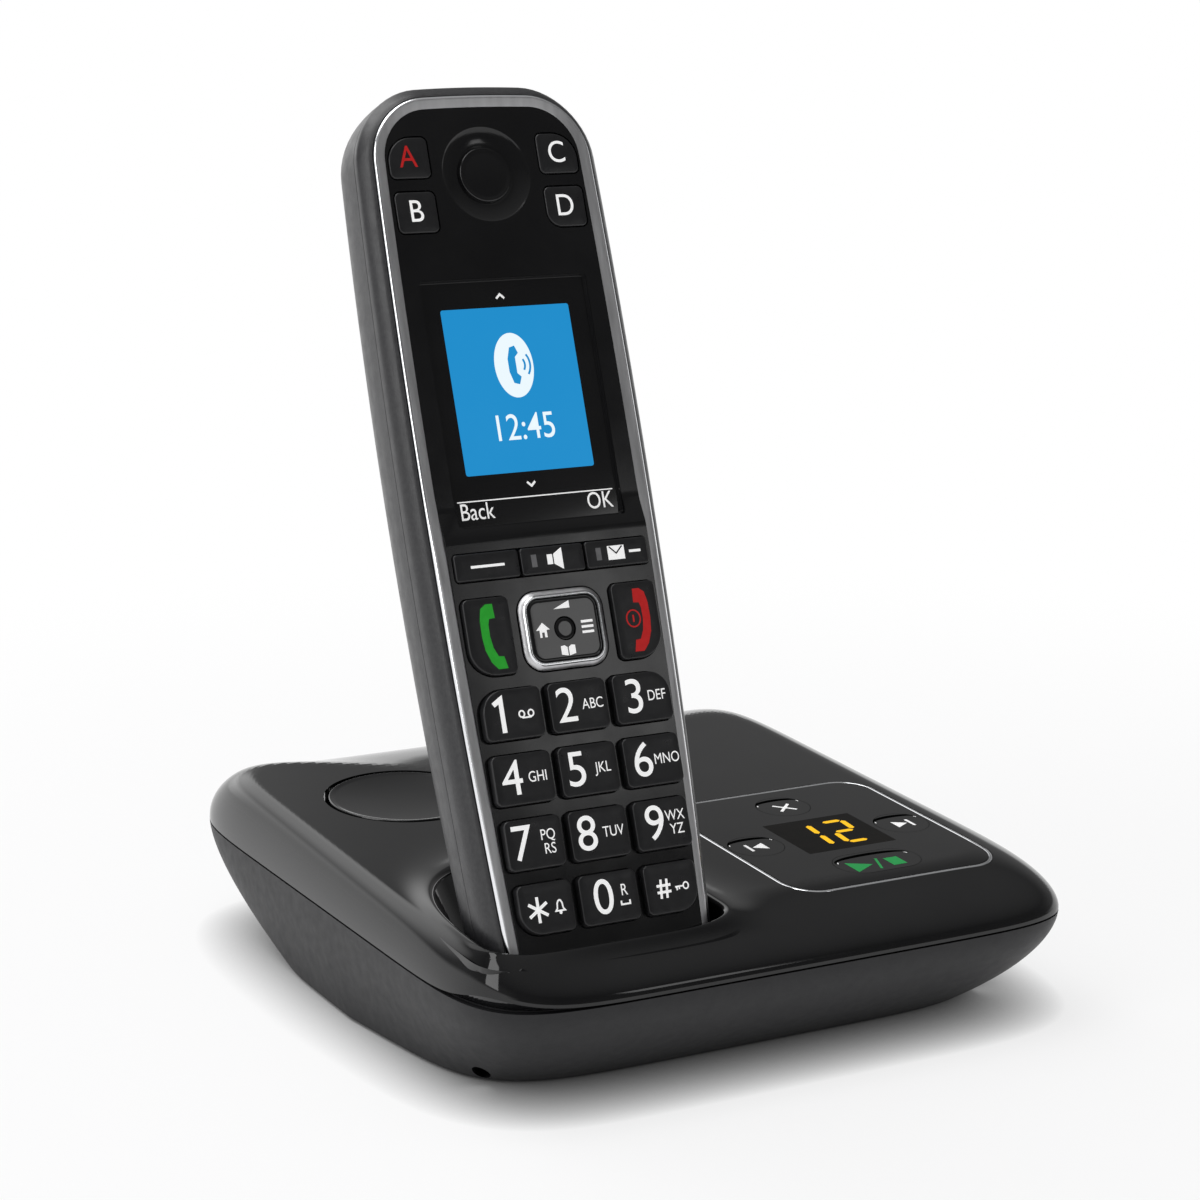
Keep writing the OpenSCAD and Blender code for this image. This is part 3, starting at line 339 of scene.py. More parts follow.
GLOSS = material("piano_black", (0.004, 0.004, 0.0045), 0.07, (0.006, 0.006, 0.0065), swing=(0.02, 90))
FACIA = material("fascia_black", (0.004, 0.004, 0.0045), 0.13, (0.006, 0.006, 0.0065), specular=0.45,
                 swing=(0.03, 120))
HULL = material("hull_grey", (0.013, 0.013, 0.0145), 0.48, (0.0155, 0.0155, 0.017), 1500, specular=0.32,
                swing=(0.04, 400), grain=(0.12, 5200))
SATIN = material("handset_satin", (0.018, 0.018, 0.020), 0.36, (0.027, 0.027, 0.029), 1200,
                 swing=(0.05, 400), grain=(0.30, 3200))
KEY = material("key_satin", (0.010, 0.010, 0.011), 0.32, (0.013, 0.013, 0.014), 500, specular=0.42,
               swing=(0.05, 400), grain=(0.12, 3000))
DARK = material("shadow_gap", (0.004, 0.004, 0.004), 0.6, (0.006, 0.006, 0.006), 300)
CHROME = material("bright_chrome", (0.86, 0.87, 0.89), 0.12, metallic=1.0, swing=(0.03, 300))
BRUSHED = material("brushed_silver", (0.58, 0.58, 0.59), 0.40, (0.64, 0.64, 0.65), 700, metallic=1.0,
                   swing=(0.06, 900), stretch=(1, 0.1, 0.1))
# white print; its glow is painted light that brightens the print as a front lamp would, besides the screen's
# and the keypad's own light, and it also draws painted highlights
WHITE = material("white_print_glow_and_glints", (0.80, 0.80, 0.80), 0.45, (0.76, 0.76, 0.76), 800, glow=(0.36, 0.36, 0.36))
GREEN = material("print_green", (0.016, 0.40, 0.022), 0.45, (0.020, 0.44, 0.028), 800)
RED = material("print_red", (0.56, 0.006, 0.006), 0.45, (0.60, 0.010, 0.010), 800)
GREY = material("led_grey", (0.13, 0.13, 0.135), 0.4, (0.16, 0.16, 0.165), 900)
LENS = material("window_black", (0.004, 0.004, 0.0045), 0.06, (0.006, 0.006, 0.0065), 100)
LCD = material("screen_blue", (0.002, 0.006, 0.012), 0.25, (0.005, 0.013, 0.022), specular=0.15,
               glow=(0.012, 0.262, 0.59))
LCD_WHITE = material("screen_white", (0.05, 0.05, 0.05), 0.3, (0.06, 0.06, 0.06), 90, glow=(0.80, 0.90, 0.95))
LED_WINDOW = material("led_window", (0.003, 0.0026, 0.002), 0.10, (0.005, 0.004, 0.003), 200, specular=0.05)
DIGIT = material("digit_amber", (0.10, 0.05, 0.004), 0.3, (0.12, 0.06, 0.005), 900, specular=0.05,
                 glow=(1.0, 0.56, 0.012))
ICON = material("icon_green", (0.010, 0.12, 0.035), 0.3, (0.012, 0.14, 0.04), 900, specular=0.1,
                glow=(0.006, 0.17, 0.035))
BOARD = material("board_green", (0.02, 0.12, 0.05), 0.4, (0.03, 0.16, 0.07), 500, grain=(0.2, 2500))
PART = material("component_black", (0.03, 0.03, 0.03), 0.5, (0.04, 0.04, 0.04), 600, grain=(0.2, 2500))
MAT = material("silicone_grey", (0.30, 0.31, 0.33), 0.6, (0.34, 0.35, 0.37), 300, grain=(0.2, 2500))
RUBBER = material("foot_rubber", (0.012, 0.012, 0.012), 0.75, (0.02, 0.02, 0.02), 900, grain=(0.5, 2500))
GOLD = material("contact_gold", (0.80, 0.62, 0.30), 0.25, (0.84, 0.68, 0.38), 300, metallic=1.0)
STEEL = material("zinc_steel", (0.58, 0.58, 0.60), 0.32, (0.66, 0.66, 0.68), 800, metallic=1.0,
                 swing=(0.08, 400))
WRAP = material("cell_sleeve", (0.05, 0.20, 0.12), 0.25, (0.06, 0.24, 0.14), 200)

CAD_LOOK = {"gloss_black": GLOSS, "base_grey": HULL, "handset_black": SATIN, "key_black": KEY,
            "silver_trim": BRUSHED, "lens_glass": LENS, "screen": LCD, "led_dark": LED_WINDOW,
            "board_green": BOARD, "part_dark": PART, "mat_grey": MAT, "foot_rubber": RUBBER,
            "contact_gold": GOLD, "steel": STEEL, "cell_wrap": WRAP}
for row in frame["record"]["subparts"]:
    node = frame["nodes"].get(row["node"])
    if node:
        node.data.materials.clear()
        node.data.materials.append(CAD_LOOK[row["material_slot"]])


# ---- mesh building
def added(name, data):
    """New object in the scene."""
    obj = bpy.data.objects.new(name, data)
    collection.objects.link(obj)
    return obj


def make(name, verts, faces, mats, index=None, matrix=None, smooth=True, sharp=40.0):
    """Mesh object from points in millimetres, placed by matrix, in metres in the row frame."""
    mesh = bpy.data.meshes.new(name)
    if matrix is not None:
        verts = [matrix @ Vector(v) for v in verts]
    mesh.from_pydata([Vector(v) * 0.001 for v in verts], [], faces)
    for m in mats:
        mesh.materials.append(m)
    if index:
        mesh.polygons.foreach_set("material_index", index)
    mesh.validate()
    mesh.update()
    if smooth:
        mesh.polygons.foreach_set("use_smooth", [True] * len(mesh.polygons))
        mesh.set_sharp_from_angle(angle=radians(sharp))
    return added(name, mesh)


def ring_faces(m, n, closed=False):
    """Faces between m rings of n points."""
    faces = []
    for i in range(m if closed else m - 1):
        a, b = i * n, (i + 1) % m * n
        faces += [(a + j, b + j, b + (j + 1) % n, a + (j + 1) % n) for j in range(n)]
    return faces


def fix_normals(obj):
    b = bmesh.new()
    b.from_mesh(obj.data)
    bmesh.ops.recalc_face_normals(b, faces=b.faces)
    b.to_mesh(obj.data)
    b.free()
    obj.data.update()
    return obj


def loft(name, rings, mats, matrix=None, sharp=40.0):
    """Closed solid from rings of equal length."""
    n, m = len(rings[0]), len(rings)
    faces = ring_faces(m, n) + [tuple(range(n)), tuple(reversed([(m - 1) * n + j for j in range(n)]))]
    return fix_normals(make(name, [p for ring in rings for p in ring], faces, mats, None, matrix, sharp=sharp))


def hoop(name, rings, mats, matrix=None, index=None, sharp=40.0):
    """Closed hoop whose section runs through the rings."""
    verts, faces = [p for ring in rings for p in ring], ring_faces(len(rings), len(rings[0]), True)
    return fix_normals(make(name, verts, faces, mats, index, matrix, sharp=sharp))


def smooth_rings(rings, steps=8):
    """Rings on a smooth curve through the given ones, column by column."""
    out = []
    for i in range(len(rings) - 1):
        near = [rings[max(0, i - 1)], rings[i], rings[i + 1], rings[min(len(rings) - 1, i + 2)]]
        for t in shares(steps)[:-1]:
            w = (-0.5 * t ** 3 + t ** 2 - 0.5 * t, 1.5 * t ** 3 - 2.5 * t ** 2 + 1,
                 -1.5 * t ** 3 + 2 * t ** 2 + 0.5 * t, 0.5 * t ** 3 - 0.5 * t ** 2)
            out.append([w[0] * a + w[1] * b + w[2] * c + w[3] * d for a, b, c, d in zip(*near)])
    return out + [rings[-1]]


def rounded(w, l, r, steps=8):
    """Rectangle about the origin with corners of radius r, or of four radii from the lower left on."""
    radii = r if isinstance(r, list) else [r] * 4
    pts = []
    for i, (sx, sy) in enumerate([(-1, -1), (1, -1), (1, 1), (-1, 1)]):
        r, start = radii[i], 180 + 90 * i
        pts += arc(sx * (w / 2 - r), sy * (l / 2 - r), r, start, start + 90, steps)
    return pts


def flat_ring(points, z):
    return [Vector((x, y, z)) for x, y in points]


def rounded_ring(w, l, r, d, z, steps=10, least=0.2):
    """Ring at height z along a rounded rectangle grown by d."""
    return flat_ring(rounded(w + 2 * d, l + 2 * d, [max(least, v + d) for v in r], steps), z)


def prism(name, outline, z0, z1, matrix, mats):
    return loft(name, [flat_ring(outline, z0), flat_ring(outline, z1)], mats, matrix)


def turned(name, profile, mats, matrix, steps=128):
    """Solid of revolution about local Z from (radius, height) points, both ends on the axis."""
    return loft(name, [flat_ring(circle(0, 0, max(r, 1e-4), steps), z) for r, z in profile], mats, matrix)


def rod(r, low, high, matrix, steps=48):
    """Round cutter."""
    return turned("cutter", [(0, low), (r, low), (r, high), (0, high)], [DARK], matrix, steps)


def slab(w, l, r, low, high, matrix, steps=8):
    """Cutter over a rounded rectangle."""
    return prism("cutter", rounded(w, l, r, steps), low, high, matrix, [DARK])


def merged(objs):
    """One cutter out of several."""
    verts, faces = [], []
    for o in objs:
        start = len(verts)
        verts += [v.co.copy() for v in o.data.vertices]
        faces += [[start + v for v in p.vertices] for p in o.data.polygons]
        bpy.data.objects.remove(o)
    mesh = bpy.data.meshes.new("cutters")
    mesh.from_pydata(verts, [], faces)
    mesh.materials.append(DARK)
    return added("cutters", mesh)


SAME_FACE = 2e-6  # distance, in metres, at which a point still lies on the uncut surface


def cut(obj, cutters, mode="DIFFERENCE"):
    """Exact boolean; the cut shell keeps the normals of its own smooth surface."""
    source = obj.data.copy()
    bvh = BVHTree.FromPolygons([v.co for v in source.vertices], [p.vertices for p in source.polygons])
    cutter = merged(cutters)
    mod = obj.modifiers.new("cut", "BOOLEAN")
    mod.operation, mod.solver, mod.object = mode, "EXACT", cutter
    done = bpy.data.meshes.new_from_object(obj.evaluated_get(bpy.context.evaluated_depsgraph_get()))
    obj.modifiers.clear()
    bpy.data.objects.remove(cutter)
    done.name = obj.data.name + "_cut"
    obj.data = done
    corner = source.corner_normals
    by_face = [{v: corner[l].vector.copy() for v, l in zip(p.vertices, p.loop_indices)}
               for p in source.polygons]

    def same(hit, face, least):
        if hit[0] is None or hit[3] >= SAME_FACE:
            return False
        return source.polygons[hit[2]].normal.dot(face.normal) > least

    normals = []
    for p in done.polygons:
        near = bvh.find_nearest(p.center)
        own = same(near, p, 0.98)
        for v in p.vertices:
            normal = p.normal
            if own:
                co = done.vertices[v].co
                hit = bvh.find_nearest(co, 0.004)
                use = hit[2] if same(hit, p, 0.9) else near[2]
                q = source.polygons[use]
                weights = poly_3d_calc([source.vertices[i].co for i in q.vertices], co)
                total = Vector()
                for i, w in zip(q.vertices, weights):
                    total += by_face[use][i] * max(0.0, w)
                if total.length > 1e-6:
                    normal = total.normalized()
            normals.append(normal)
    done.polygons.foreach_set("use_smooth", [True] * len(done.polygons))
    done.normals_split_custom_set(normals)
    bpy.data.meshes.remove(source)
    return obj


def piece(obj, body, *nodes, slot=None):
    """Hand a piece to its body, in place of CAD nodes; slot is not used."""
    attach(obj, body)
    if nodes:
        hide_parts(*nodes)
    return obj


class Print:
    """Flat marks in a local plane, laid on height z(x, y) and joined into one piece."""

    def __init__(self, name, body, matrix, z):
        self.name, self.body, self.matrix, self.z = name, body, matrix, z
        self.verts, self.faces, self.index, self.mats = [], [], [], []

    def add(self, points, faces, mat):
        start = len(self.verts)
        self.verts += [(x, y, self.z(x, y) + PRINT_H) for x, y in points]
        self.faces += [[start + v for v in face] for face in faces]
        if mat not in self.mats:
            self.mats.append(mat)
        self.index += [self.mats.index(mat)] * len(faces)

    def poly(self, points, mat=WHITE):
        self.add(points, [range(len(points))], mat)

    def disc(self, x, y, r, mat=WHITE, ry=None, n=40):
        self.poly(circle(x, y, r, n, ry), mat)

    def stroke(self, points, w, mat=WHITE, closed=False):
        """Line of even width through the points, mitred at its bends."""
        p = [Vector(q) for q in points]
        n = len(p)
        left, right = [], []
        for i in range(n):
            before = (p[i] - p[i - 1]).normalized() if closed or i else None
            after = (p[(i + 1) % n] - p[i]).normalized() if closed or i < n - 1 else None
            before, after = before or after, after or before
            t = (before + after).normalized()
            m = Vector((-t.y, t.x)) * (w / 2) / max(0.4, t.dot(before))
            left.append(tuple(p[i] + m))
            right.append(tuple(p[i] - m))
        last = n if closed else n - 1
        self.add(left + right, [(i, n + i, n + (i + 1) % n, (i + 1) % n) for i in range(last)], mat)

    def loop(self, x, y, rx, ry, w, mat=WHITE, n=20):
        """Thin oval."""
        self.stroke(circle(x, y, rx, n, ry), w, mat, closed=True)

    def text(self, words, x, y, size, mat=WHITE, width=0.86, bold=0.0, align="CENTER"):
        curve = bpy.data.curves.new(self.name + "_text", "FONT")
        curve.body, curve.size, curve.offset = words, size, bold
        curve.align_x, curve.align_y = align, "CENTER"
        curve.resolution_u = 6
        temp = added(self.name + "_text", curve)
        mesh = bpy.data.meshes.new_from_object(temp.evaluated_get(bpy.context.evaluated_depsgraph_get()))
        bpy.data.objects.remove(temp)
        pts = [(x + v.co.x * width, y + v.co.y) for v in mesh.vertices]
        self.add(pts, [tuple(p.vertices) for p in mesh.polygons], mat)

    def done(self, slot=None):
        obj = make(self.name, self.verts, self.faces, self.mats, self.index, self.matrix, smooth=False)
        return piece(obj, self.body, slot=slot)


# ---- base: cover
def mouth_edge(t):
    """Quarter round of the mouth's edge: t from 0 on the top to 1 in the well."""
    return RIM_ROUND * (1 - sin(pi / 2 * t)), RIM_ROUND * (1 - cos(pi / 2 * t))


def panel_loop(grow, lift):
    """Loop along the panel's outline that follows the cover."""
    pts = rounded(PANEL_W + 2 * grow, PANEL_D + 2 * grow, PANEL_R + grow, 16)
    loop = []
    for p, q in zip(pts, pts[1:] + pts[:1]):
        n = max(1, int(math.dist(p, q) / 1.5))
        for t in shares(n)[:-1]:
            x, y = mix(p[0], q[0], t) + PANEL_AT[0], mix(p[1], q[1], t) + PANEL_AT[1]
            loop.append(Vector((x, y, top_surface(x, y) + lift)))
    return loop


# rings stand close together where the cover rolls over and where it meets the mouth
across = [0.75 * t ** 2.4 for t in shares(60)] + [1 - 0.25 * (1 - t) ** 1.8 for t in shares(60)[1:]]
cover = loft("base_cover", [
    well_ring(-SEAT_GAP - BASE_WALL, FLOOR_HALF, FLOOR_FRONT, FLOOR_BACK),
    well_ring(-0.4, SHELF_HALF, SHELF_FRONT, SHELF_BACK, 0.8 * BASE_WALL),
    well_ring(7, WELL_HALF, WELL_FRONT, -HS_DEPTH - CRADLE_GAP, BASE_WALL),
    rim_ring(BASE_WALL, BASE_WALL + 3),
    *[top_ring(s, BASE_WALL, BASE_WALL + RIM_ROUND) for s in (1, 0.9, 0.7, 0.4, 0.15, 0.05, 0.02)],
    hull_ring(PART_Z + 1.8, BASE_WALL), hull_ring(PART_Z + 1.8, 0.9), hull_ring(PART_Z, 0.9),
    *[top_ring(s, 0, RIM_ROUND) for s in across],
    *[rim_ring(*mouth_edge(t)) for t in shares(8)[1:]],
    well_ring(7, WELL_HALF, WELL_FRONT, -HS_DEPTH - CRADLE_GAP),
    well_ring(1.6, SHELF_HALF, SHELF_FRONT, SHELF_BACK),
    well_ring(-SEAT_GAP, FLOOR_HALF, FLOOR_FRONT, FLOOR_BACK)], [GLOSS])
KEY_DEEP = -5.2
cutters = [rod(PAGING_R + PAGING_RING, -10, 20, on_top(PAGING_AT), 128)]
cutters += [rod(PANEL_KEY_R + 0.10, KEY_DEEP, 10, on_top(p), 128) for p in (DELETE_AT, PREVIOUS_AT, NEXT_AT)]
cutters.append(slab(PLAY_W + 0.2, PLAY_L + 0.2, PLAY_R + 0.1, KEY_DEEP, 10, on_top(PLAY_AT), 16))
cutters.append(slab(LED_W + 0.1, LED_L + 0.1, 0.3, KEY_DEEP, 10, on_top(LED_AT), 4))
cutters.append(hoop("cutter", [panel_loop(-0.5, -0.6), panel_loop(0.5, -0.6), panel_loop(0.5, 1),
                               panel_loop(-0.5, 1)], [DARK]))
for x in (-PIN_X, PIN_X):
    cutters.append(rod(1.4, 0, 8, on_face(x, -5, PIN_Z) @ Matrix.Rotation(-pi / 2, 4, "X"), 40))
piece(cut(cover, cutters), "base", "base_top_cover", slot="gloss_black")

# ---- base: hull
hull = loft("base_hull", [
    *[hull_ring(mix(FOOT_H, PART_Z - BASE_JOINT, t ** 1.3)) for t in shares(26)],
    hull_ring(PART_Z - BASE_JOINT, 1.1), hull_ring(PART_Z + 1.5, 1.1), hull_ring(PART_Z + 1.5, BASE_WALL),
    hull_ring(16, BASE_WALL + 0.2), hull_ring(11, BASE_WALL + 0.2), hull_ring(7, BASE_WALL + 0.2),
    hull_ring(4.6, BASE_WALL + 0.8), hull_ring(FOOT_H + BASE_WALL, BASE_WALL + 2)], [HULL])
SCREWS = [(-1.5, -51), (58.6, -12), (-58.6, -2), (-14, 34), (40, 34)]
FEET = [(-46, -42), (46, -42), (52, 26), (-52, 26)]
cutters = [rod(3.1, -1, FOOT_H + 1.4, place(*p)) for p in SCREWS]
cutters += [rod(5.05, -1, FOOT_H + 0.7, place(*p), 64) for p in FEET]
cutters += [slab(2, 24 - 4 * abs(s), 0.9, -1, 5, place(28 + 6 * s, -21), 6) for s in range(-2, 3)]
cutters += [slab(w, 40, 0.5, 8.1, 21.1, place(x, 67), 4) for x, w in ((8, 15.6), (-16, 9.6))]
for side in (-1, 1):
    vent = place(side * 57, -53, 3.2) @ Matrix.Rotation(radians(side * 40), 4, "Z") @ LAID
    cutters.append(rod(1.9, -6, 6, vent))
piece(cut(hull, cutters), "base", "base_bottom_shell", slot="base_grey")

# ---- base: keys and panel
profile = [(0, -4), (PAGING_R + 0.7, -4), (PAGING_R + 0.7, -3), (PAGING_R, -3), (PAGING_R, -0.45)]
profile += arc(PAGING_R - 0.35, -0.35, 0.35, 0, 90, 8, 0.4)[1:]
profile += [(PAGING_R * t, -0.7 + 0.62 * t ** 2.2) for t in [0.95 - 0.05 * i for i in range(19)] + [0]]
paging = turned("paging_cap", profile, [GLOSS], on_top(PAGING_AT), 200)
piece(paging, "paging_button", "paging_key", slot="gloss_black")
TIP = 0.62  # power that draws a crescent's ends out to points


def crescent(w, l, thick, lift):
    """Outline of a thin crescent with its tips at height lift."""
    turns = [pi * t for t in shares(40)]
    far = [(w / 2 * cos(a), lift + l * max(0.0, sin(a)) ** TIP) for a in turns]
    near = [(0.99 * w / 2 * cos(a), lift + (l - thick) * max(0.0, sin(a)) ** TIP) for a in reversed(turns)]
    return far + near[1:-1]


def panel_cap(key, at, outline, w, l, lift, thick):
    """Flush key, narrower below, with a crescent slot along its far edge over a dark sheet of painted shade,
    and painted highlights at its tips.
    """
    name, body = key + "_cap", key + "_button"
    walls = [flat_ring(outline(d), z) for d, z in ((-0.35, -3.4), (-0.05, -0.5), (0.0, 0.0))]
    cap = loft(name, walls, [GLOSS], on_top(at), 25)
    shape = crescent(w, l, thick, lift)
    cut(cap, [prism("cutter", shape, -1.2, 1.0, on_top(at), [DARK])])
    piece(cap, body, key + "_key", slot="gloss_black")
    # a dark sheet below the cap's top inside the slot: painted shade for the slot's dark depth
    dark = prism(name + "_slot", [(0.94 * x, 0.96 * y) for x, y in shape], -1.15, -0.75, on_top(at), [DARK])
    piece(dark, body, slot="part_dark")
    marks = Print(name + "_print", body, on_top(at), lambda x, y: 0.0)
    # white strokes along the slot's tips are painted highlights, the glints of the slot's edge
    for side in (-1, 1):
        marks.stroke([(side * 0.47 * w * cos(radians(a)), lift - 0.06 + (l - thick) * sin(radians(a)) ** TIP)
                      for a in range(3, 21, 3)], 0.2)
    return marks


def small_cap(key, at):
    return panel_cap(key, at, lambda d: circle(0, 0, PANEL_KEY_R + d, 96), 10.6, 3.4, 1.6, 1.3)


def play_outline(d):
    return rounded(PLAY_W + 2 * d, PLAY_L + 2 * d, PLAY_R + d, 16)


marks = small_cap("delete", DELETE_AT)
marks.stroke([(-1.9, -2.6), (1.9, 1.2)], 0.65)
marks.stroke([(-1.9, 1.2), (1.9, -2.6)], 0.65)
marks.done()
for key, at, side in (("previous", PREVIOUS_AT, 1), ("next", NEXT_AT, -1)):
    marks = small_cap(key, at)
    marks.stroke([(-1.9 * side, -2.4), (-1.9 * side, 1.4)], 0.65)
    marks.poly([(-1.1 * side, -0.5), (1.9 * side, -2.3), (1.9 * side, 1.3)])
    marks.done()
marks = panel_cap("play", PLAY_AT, play_outline, 17.6, 3.6, 1.1, 1.3)
marks.poly([(-6.9, -4.2), (-6.9, 1.4), (-1.9, -1.4)], ICON)
marks.stroke([(-1.5, -4.2), (0.4, 1.2)], 0.55, ICON)
marks.poly([(1.8, -3.6), (5.0, -3.6), (5.0, 0.6), (1.8, 0.6)], ICON)
marks.done()

LINE = ((-0.3, -0.5), (0.3, -0.5), (0.32, -0.06), (0.2, 0.02), (0, 0.05), (-0.2, 0.02), (-0.32, -0.06))
line = hoop("panel_line", [panel_loop(grow, lift) for grow, lift in LINE], [CHROME], sharp=60)
piece(line, "base", "panel_trim_line", slot="silver_trim")
window = prism("led_cover", rounded(LED_W, LED_L, 0.25, 4), -1.5, 0.0, on_top(LED_AT), [LED_WINDOW])
piece(window, "base", "led_window", slot="led_dark")
digits = Print("led_digits", "base", on_top(LED_AT), lambda x, y: 0.0)


def segment(x0, y0, x1, y1, w=1.3):
    """Bar of a seven-segment digit with pointed ends; the digits lean to the right."""
    d = Vector((x1 - x0, y1 - y0)).normalized()
    n = Vector((-d.y, d.x)) * (w / 2)
    a, b, tip = Vector((x0, y0)) + d * 0.25, Vector((x1, y1)) - d * 0.25, d * w * 0.45
    pts = [a, a + tip + n, b - tip + n, b, b - tip - n, a + tip - n]
    digits.poly([(p.x + 0.09 * p.y, p.y) for p in pts], DIGIT)


ONE_X, TWO_LEFT, TWO_RIGHT, LOW, HIGH, GAP = -2.2, 1.4, 6.2, -6.2, 6.0, 0.3
segment(ONE_X, GAP, ONE_X, HIGH)
segment(ONE_X, LOW, ONE_X, -GAP)
segment(TWO_RIGHT, GAP, TWO_RIGHT, HIGH)
segment(TWO_LEFT, LOW, TWO_LEFT, -GAP)
for y in (HIGH, 0.0, LOW):
    segment(TWO_LEFT, y, TWO_RIGHT, y)
digits.done()


# ---- handset: shells
def loops(*rows):
    return [body_loop(*row) for row in rows]


band_rings = loops((-TRIM_W - 0.6, HS_WALL), (BAND_OUT - HS_WALL - 1.2, HS_WALL),
                   (BAND_OUT - HS_WALL, HS_WALL + 1.2), (BAND_OUT - HS_WALL, 0, 1))
band_rings += smooth_rings(loops((BAND_OUT, 0, 1), (BAND_OUT, 0.6, 0.55), (BAND_OUT - 0.5, 1.1, 0.2),
                                 (BAND_OUT - 1.4, 0.7, 0.04), (0.2, 0.3)))
band_rings += loops((0, 0.6), (-TRIM_W, 0.6))
piece(hoop("side_band", band_rings, [SATIN], STOOD), "handset", "handset_front_cover", slot="handset_black")

# fascia: a flat plate whose top follows the ramp up to the keypad field
fascia = prism("fascia", [(p.x, p.y) for p in body_loop(-TRIM_W + 0.02)], -HS_WALL, PAD_H, STOOD, [FACIA])
step = [(RAMP_Y[0], PAD_H), (RAMP_Y[0] + 1.2, PAD_H - 0.08), (RAMP_Y[1] - 1.2, 0.08), (RAMP_Y[1], 0.0),
        (HS_LEN + 2, 0.0), (HS_LEN + 2, PAD_H + 3), (RAMP_Y[0], PAD_H + 3)]
cut(fascia, [loft("cutter", [[Vector((x, y, z)) for y, z in step] for x in (-30, 30)], [DARK], STOOD)])

keys = {}
CUT, ROUND = 1.2, 4.4  # radii of a key's plain corners and of the keypad's outer corners
for name, x, y, radii in (
        ("key_a", -SIDE_X, KEY_A_Y, [CUT, CUT, CUT, 5]), ("key_b", -SIDE_X, KEY_B_Y, [CUT] * 4),
        ("key_c", SIDE_X, KEY_A_Y, [CUT, CUT, 5, CUT]), ("key_d", SIDE_X, KEY_B_Y, [3, CUT, CUT, CUT])):
    keys[name] = ((x, y), SIDE_W, SIDE_L, radii, 0.3)
for name, i in (("softkey_left", -1), ("speaker_key", 0), ("message_key", 1)):
    keys[name] = ((i * SOFT_PITCH, SOFT_Y), SOFT_W, SOFT_L, [0.6] * 4, PAD_H + 0.7)
keys["talk_key"] = ((-CALL_X, NAV_Y), CALL_W, CALL_L, [5.2, CUT, CUT, CUT], PAD_H + 1.2)
keys["end_key"] = ((CALL_X, NAV_Y), CALL_W, CALL_L, [CUT, 5.2, CUT, CUT], PAD_H + 1.2)
NUMBERS = "key_1 key_2 key_3 key_4 key_5 key_6 key_7 key_8 key_9 key_star key_0 key_hash".split()
for index, name in enumerate(NUMBERS):
    row, i = 3 - index // 3, index % 3 - 1
    y = ROW_Y + row * PITCH_Y
    inner = PITCH_X - KEY_W / 2
    reach = min(PITCH_X + KEY_W / 2, face_half(y - KEY_L / 2) - TRIM_W - KEY_GAP - 0.1)
    width = KEY_W if i == 0 else reach - inner
    radii = [ROUND if (row, i) == end else CUT for end in ((0, -1), (0, 1), (3, 1), (3, -1))]
    keys[name] = ((i * (inner + width / 2), y), width, KEY_L, radii, PAD_H + KEY_H)

cutters = [slab(2 * SOFT_PITCH + SOFT_W + 2 * KEY_GAP, SOFT_L + 2 * KEY_GAP, 0.8 + KEY_GAP, -4, 6,
                on_face(0, SOFT_Y))]
for at, w, l, radii, h in keys.values():
    if at[1] != SOFT_Y:
        radii = [r + KEY_GAP for r in radii]
        cutters.append(slab(w + 2 * KEY_GAP, l + 2 * KEY_GAP, radii, -4, 6, on_face(*at)))
cutters.append(slab(NAV_W + 0.5, NAV_L + 0.5, NAV_R + 0.25, -4, 6, on_face(0, NAV_Y), 10))
cutters.append(slab(WINDOW_W + 0.1, WINDOW_H + 0.1, WINDOW_R, -4, 6, on_face(0, WINDOW_Y), 10))
bowl = [(0, -1.1), (CAP_R + 0.1, -0.98), (CAP_R + 0.5, -0.9)]
bowl += [(mix(CAP_R + 0.5, EAR_R, t), -0.9 + 0.9 * (1 - (1 - t ** 1.5) ** 0.8)) for t in shares(14)[1:]]
bowl += [(EAR_R + 0.01, 0.3), (EAR_R + 0.01, 3), (0, 3)]
cutters.append(turned("cutter", bowl, [DARK], on_face(0, EAR_Y)))
piece(cut(fascia, cutters), "handset", slot="gloss_black")

trim_rings = loops((-TRIM_W + 0.05, 0.6), (-0.05, 0.6), (0.0, 0.12), (-0.12, -0.12, 0, 0, 0.04),
                   (-0.42, -0.29, 0, 0, 0.12), (-0.62, -0.32, 0, 0, 0.2), (-0.8, -0.29, 0, 0, 0.26),
                   (-TRIM_W + 0.35, -0.02, 0, 0, 0.72), (-TRIM_W + 0.05, 0.06, 0, 0, 0.74))
index = [int(i > 3) for i, ring in enumerate(trim_rings) for p in ring]
trim = hoop("face_trim", trim_rings, [CHROME, BRUSHED], STOOD, index, 70)
piece(trim, "handset", "handset_trim_band", slot="silver_trim")

back_rings = loops(*[(d, 0, 0, 1) for d in (-23.4, -21, -18, -15.5)])
back_rings += smooth_rings(loops(
    (-14, 0, 0, 1), (-9, -0.55, 0, 1), (-4, -2.6, 0, 1), (-0.5, -6.3, 0, 1), (1.6, 0, 0, 0.56),
    (BAND_OUT - 0.1, 0, 0, 0.39), (BAND_OUT, 0.15, 1)))
back_rings += loops(
    (BAND_OUT - HS_WALL, 0.15, 1), (1.5 - HS_WALL, 0, 0, 0.54), (-0.6 - 0.9 * HS_WALL, -7, 0, 1),
    (-4.2 - 0.7 * HS_WALL, -3.9, 0, 1), (-9.4, -0.5 - HS_WALL, 0, 1), (-14, -HS_WALL, 0, 1),
    (-23.4, -HS_WALL, 0, 1))


def lid_zone(gap):
    """Block over the battery cover's outline, less a gap."""
    w, l = 2 * (LID_HALF - gap), LID_Y[1] - LID_Y[0] - 2 * gap
    return slab(w, l, 3.0, -HS_DEPTH - 2, -HS_DEPTH + 10, on_face(0, sum(LID_Y) / 2))


